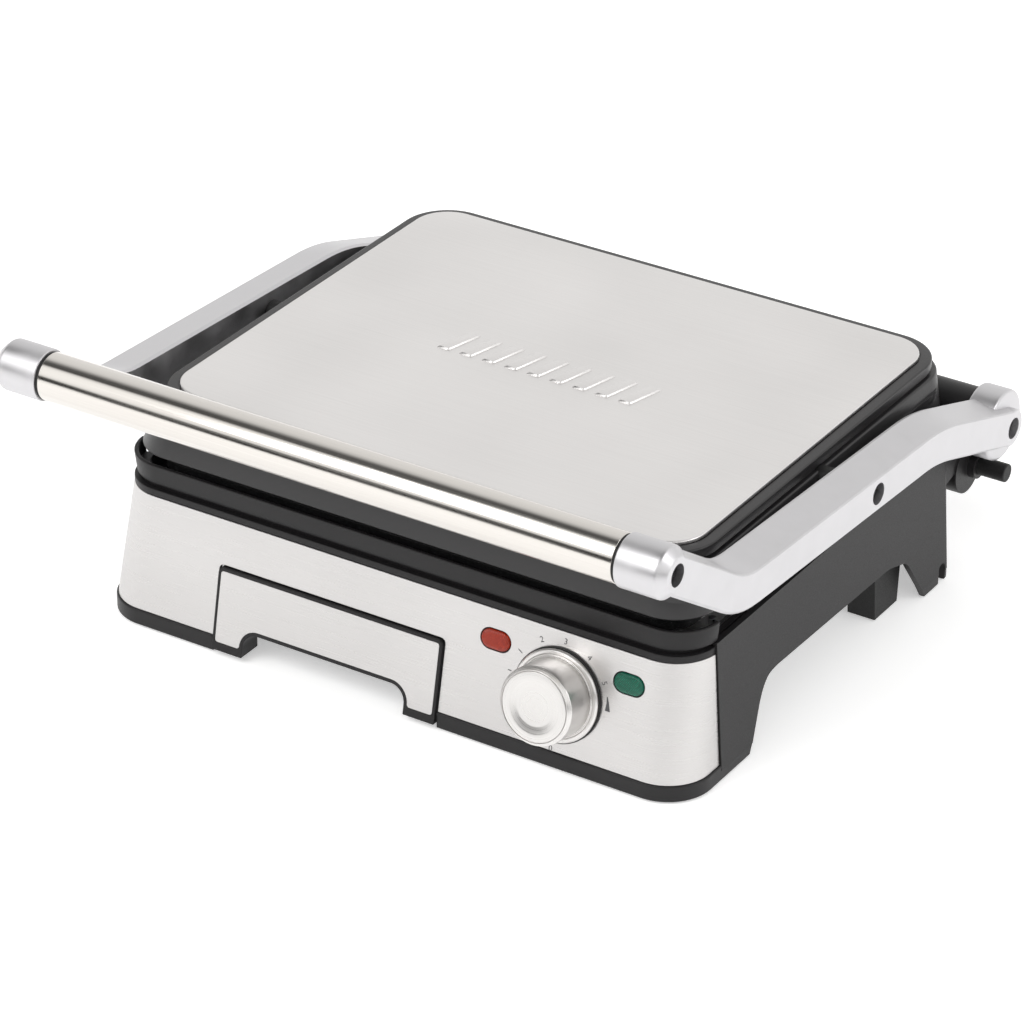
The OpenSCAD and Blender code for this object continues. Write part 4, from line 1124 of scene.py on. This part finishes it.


# The near-black ring fills the gap behind the disc and paints that gap's shadow as a dark line.
ring_r = DISC_R + 0.3
gap_shadow_ring = knob_part(
    "knob_black_ring", [(9, 0.1), (ring_r, 0.1), (ring_r, RING_T), (9, RING_T)], 0.2, inner_plastic
)
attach(gap_shadow_ring, "knob")
knob_skirt = knob_part("knob_disc", [
    (4, RING_T), (DISC_R - 0.3, RING_T), (DISC_R - 0.3, 2.6),
    (DISC_R - 1.1, DISC_T + 0.4), (DISC_R - 2.6, DISC_T + 0.4),
    (DISC_R - 2.9, DISC_T - 0.3), (DISC_R - 3.5, DISC_T - 0.3),
    (DISC_R - 3.8, DISC_T + 0.2), (4, DISC_T + 0.2),
], 0.25, knob_metal)
finish_piece(knob_skirt, "knob", ["knob_skirt"])

# %% Knob grip
knob_cap = knob_part("knob_grip", [
    (4, DISC_T + 0.4), (CAP_R, DISC_T + 0.4), (CAP_R, CAP_OUT - 1.9), (CAP_R - CAP_CHAMFER, CAP_OUT - 0.1),
    (CAP_R - 1.9, CAP_OUT - 0.1), (CAP_R - 1.9, CAP_OUT - 0.9), (CAP_R - 2.3, CAP_OUT - 0.9),  # groove
    (CAP_R - 2.3, CAP_OUT), (CAP_R * 0.70, CAP_OUT), (CAP_R * 0.60, CAP_OUT - 0.35),  # face
    (CAP_R * 0.5, CAP_OUT - 0.75), (0.4, CAP_OUT - 1.0),  # dish
], 0.45, knob_metal)
finish_piece(knob_cap, "knob", ["knob_cap"])

# %% [markdown]
# ## Numbers round the knob
# The scale is pad-printed on the fascia. The numbers are flat text, made a mesh first and
# then laid on the leaning sheet, each turned with its place on the circle. An image of the
# scale would be quicker, but thin real shapes stay sharp at any distance. A wedge stands for
# the hottest setting and 0 for off.

# %% Dial print
MARK_R, MARK_SIZE, INK_T = 28.2, 4.4, 0.03
DIAL = [("1", 146), ("2", 116), ("3", 88), ("4", 58), ("5", 29), ("0", 269)]
parts = []
for text, degrees in DIAL:
    letter = bpy.data.curves.new("number", "FONT")
    letter.body, letter.size, letter.align_x, letter.align_y = text, MARK_SIZE * MM, "CENTER", "CENTER"
    letter.extrude, letter.resolution_u = INK_T * MM, 4
    flat = bpy.data.objects.new("number", letter)
    bpy.context.scene.collection.objects.link(flat)
    bpy.context.view_layer.update()
    mesh = bpy.data.meshes.new_from_object(flat.evaluated_get(bpy.context.evaluated_depsgraph_get()))
    a = math.radians(degrees)
    spin = Matrix.Rotation(a - math.pi / 2, 4, "Z")
    place = knob_place @ Matrix.Translation((MARK_R * math.cos(a), MARK_R * math.sin(a), INK_T)) @ spin
    points = [tuple(place @ (v.co / MM)) for v in mesh.vertices]
    parts.append((points, [tuple(f.vertices) for f in mesh.polygons]))
    bpy.data.objects.remove(flat)
WEDGE = ((15, -0.3), (15, 0.3), (8, 0.7), (0, 1.4), (0, -1.4), (8, -0.7))  # degrees, out from the circle
wedge = [
    ((MARK_R + w) * math.cos(math.radians(d)), (MARK_R + w) * math.sin(math.radians(d))) for d, w in WEDGE
]
tick = [(-MARK_R - 1, 4.1), (-MARK_R + 1, 4.1), (-MARK_R + 1, 4.6), (-MARK_R - 1, 4.6)]
parts += [prism(wedge, knob_place, (0, 0.06)), prism(tick, knob_place, (0, 0.06))]
dial = join("dial_print", parts, ink)
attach(dial, "base")
print("dial print:", len(parts), "marks")

# %% [markdown]
# ## The lamps
# Red says that the press is on, green that the plates are hot. Each lamp is a moulded lens
# with a domed front that clips into its hole. A bevelled plate would do. A stack of pills,
# each smaller and higher than the last, gives the dome and the tight rim.

# %% Lamps
LAMPS_SHOWN = [("lamp_red", -1, red_lens, "lens_red"), ("lamp_green", 1, green_lens, "lens_green")]
lens_steps = rounded([(0, -2.0), (0, 0.35), (1.6, 0.95), (4.0, 1.05)], 0.6, 4)  # inset, height
for name, side, material, slot in LAMPS_SHOWN:
    place = on_fascia(knob_x + side * LAMP_DX, LAMP_Z)
    loops = [
        [tuple(place @ Vector((x, y, h))) for x, y in pill(LAMP_W - 2 * i, LAMP_H - 2 * i)]
        for i, h in lens_steps
    ]
    made = solid(name + "_lens", *skin(loops), material)
    shade(made, 45)
    finish_piece(made, "base", [name])

# %% [markdown]
# ## Parts that keep their CAD shape
# The hinge bridge, the cover under the base, the tray and the hardware already have their
# true shape. What they lack is the small radius of a real edge, which catches the light. A
# copy of each is merged, its flat faces are joined, and its edges are rounded.

# %% Rounded copies of CAD parts
def softened(node, body, material, slot, width):
    """A copy of a CAD node, merged and with rounded edges, that stands for it."""
    copy = bpy.data.objects.new(node + "_rounded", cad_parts[node].data.copy())
    bpy.context.scene.collection.objects.link(copy)
    mesh = bmesh.new()
    mesh.from_mesh(copy.data)
    bmesh.ops.remove_doubles(mesh, verts=mesh.verts, dist=0.002 * MM)
    bmesh.ops.dissolve_limit(mesh, angle_limit=math.radians(2), verts=mesh.verts, edges=mesh.edges)
    mesh.to_mesh(copy.data)
    mesh.free()
    copy.data.materials.clear()
    copy.data.materials.append(material)
    soften(copy, width)
    finish_piece(copy, body, [node])
    return copy


SOFTENED = [  # node, body, finish, slot, edge radius in mm
    ("hinge_bridge", "base", housing_plastic, "dark_plastic", 0.9),
    ("bottom_cover", "base", inner_plastic, "dark_plastic", 0.3),
    ("drawer_tray", "drawer", inner_plastic, "dark_plastic", 0.4),
    ("release_pin", "release", inner_plastic, "dark_plastic", 0.7),
    ("cord_gland", "base", foot_rubber, "rubber_black", 0.4),
    ("rubber_feet", "base", foot_rubber, "rubber_black", 0.3),
    ("drawer_rails", "base", plated_steel, "plated_steel", 0.2),
    ("lower_reflector", "base", pan_metal, "plated_steel", 0.25),
    ("handle_screws", "arms", screw_steel, "plated_steel", 0.3),
    ("hinge_screws", "arms", screw_steel, "plated_steel", 0.3),
    ("pivot_pins", "arms", screw_steel, "plated_steel", 0.3),
    ("lid_screws", "lid", plated_steel, "plated_steel", 0.2),
    ("base_screws", "base", plated_steel, "plated_steel", 0.2),
]
for entry in SOFTENED:
    softened(*entry)

# %% [markdown]
# ### Parts inside
# What the shells hide keeps its CAD mesh and only gets a finish, so that it looks right when
# the press is open or taken apart.

# %% Finishes for the parts inside
KEPT = {
    plated_steel: ["hinge_shaft", "knob_spindle", "handle_rod"],
    pan_metal: ["upper_reflector", "drain_chute"],
    heater_sheath: ["lower_element", "upper_element"],
    pale_plastic: ["thermostat_body", "lamp_holders", "terminal_block", "thermal_fuse"],
    inner_plastic: ["hinge_bushes", "pivot_bushes"],
}
for material, nodes in KEPT.items():
    for node in nodes:
        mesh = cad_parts[node].data
        mesh.materials.clear()
        mesh.materials.append(material)
print("inside parts:", sum(len(nodes) for nodes in KEPT.values()))
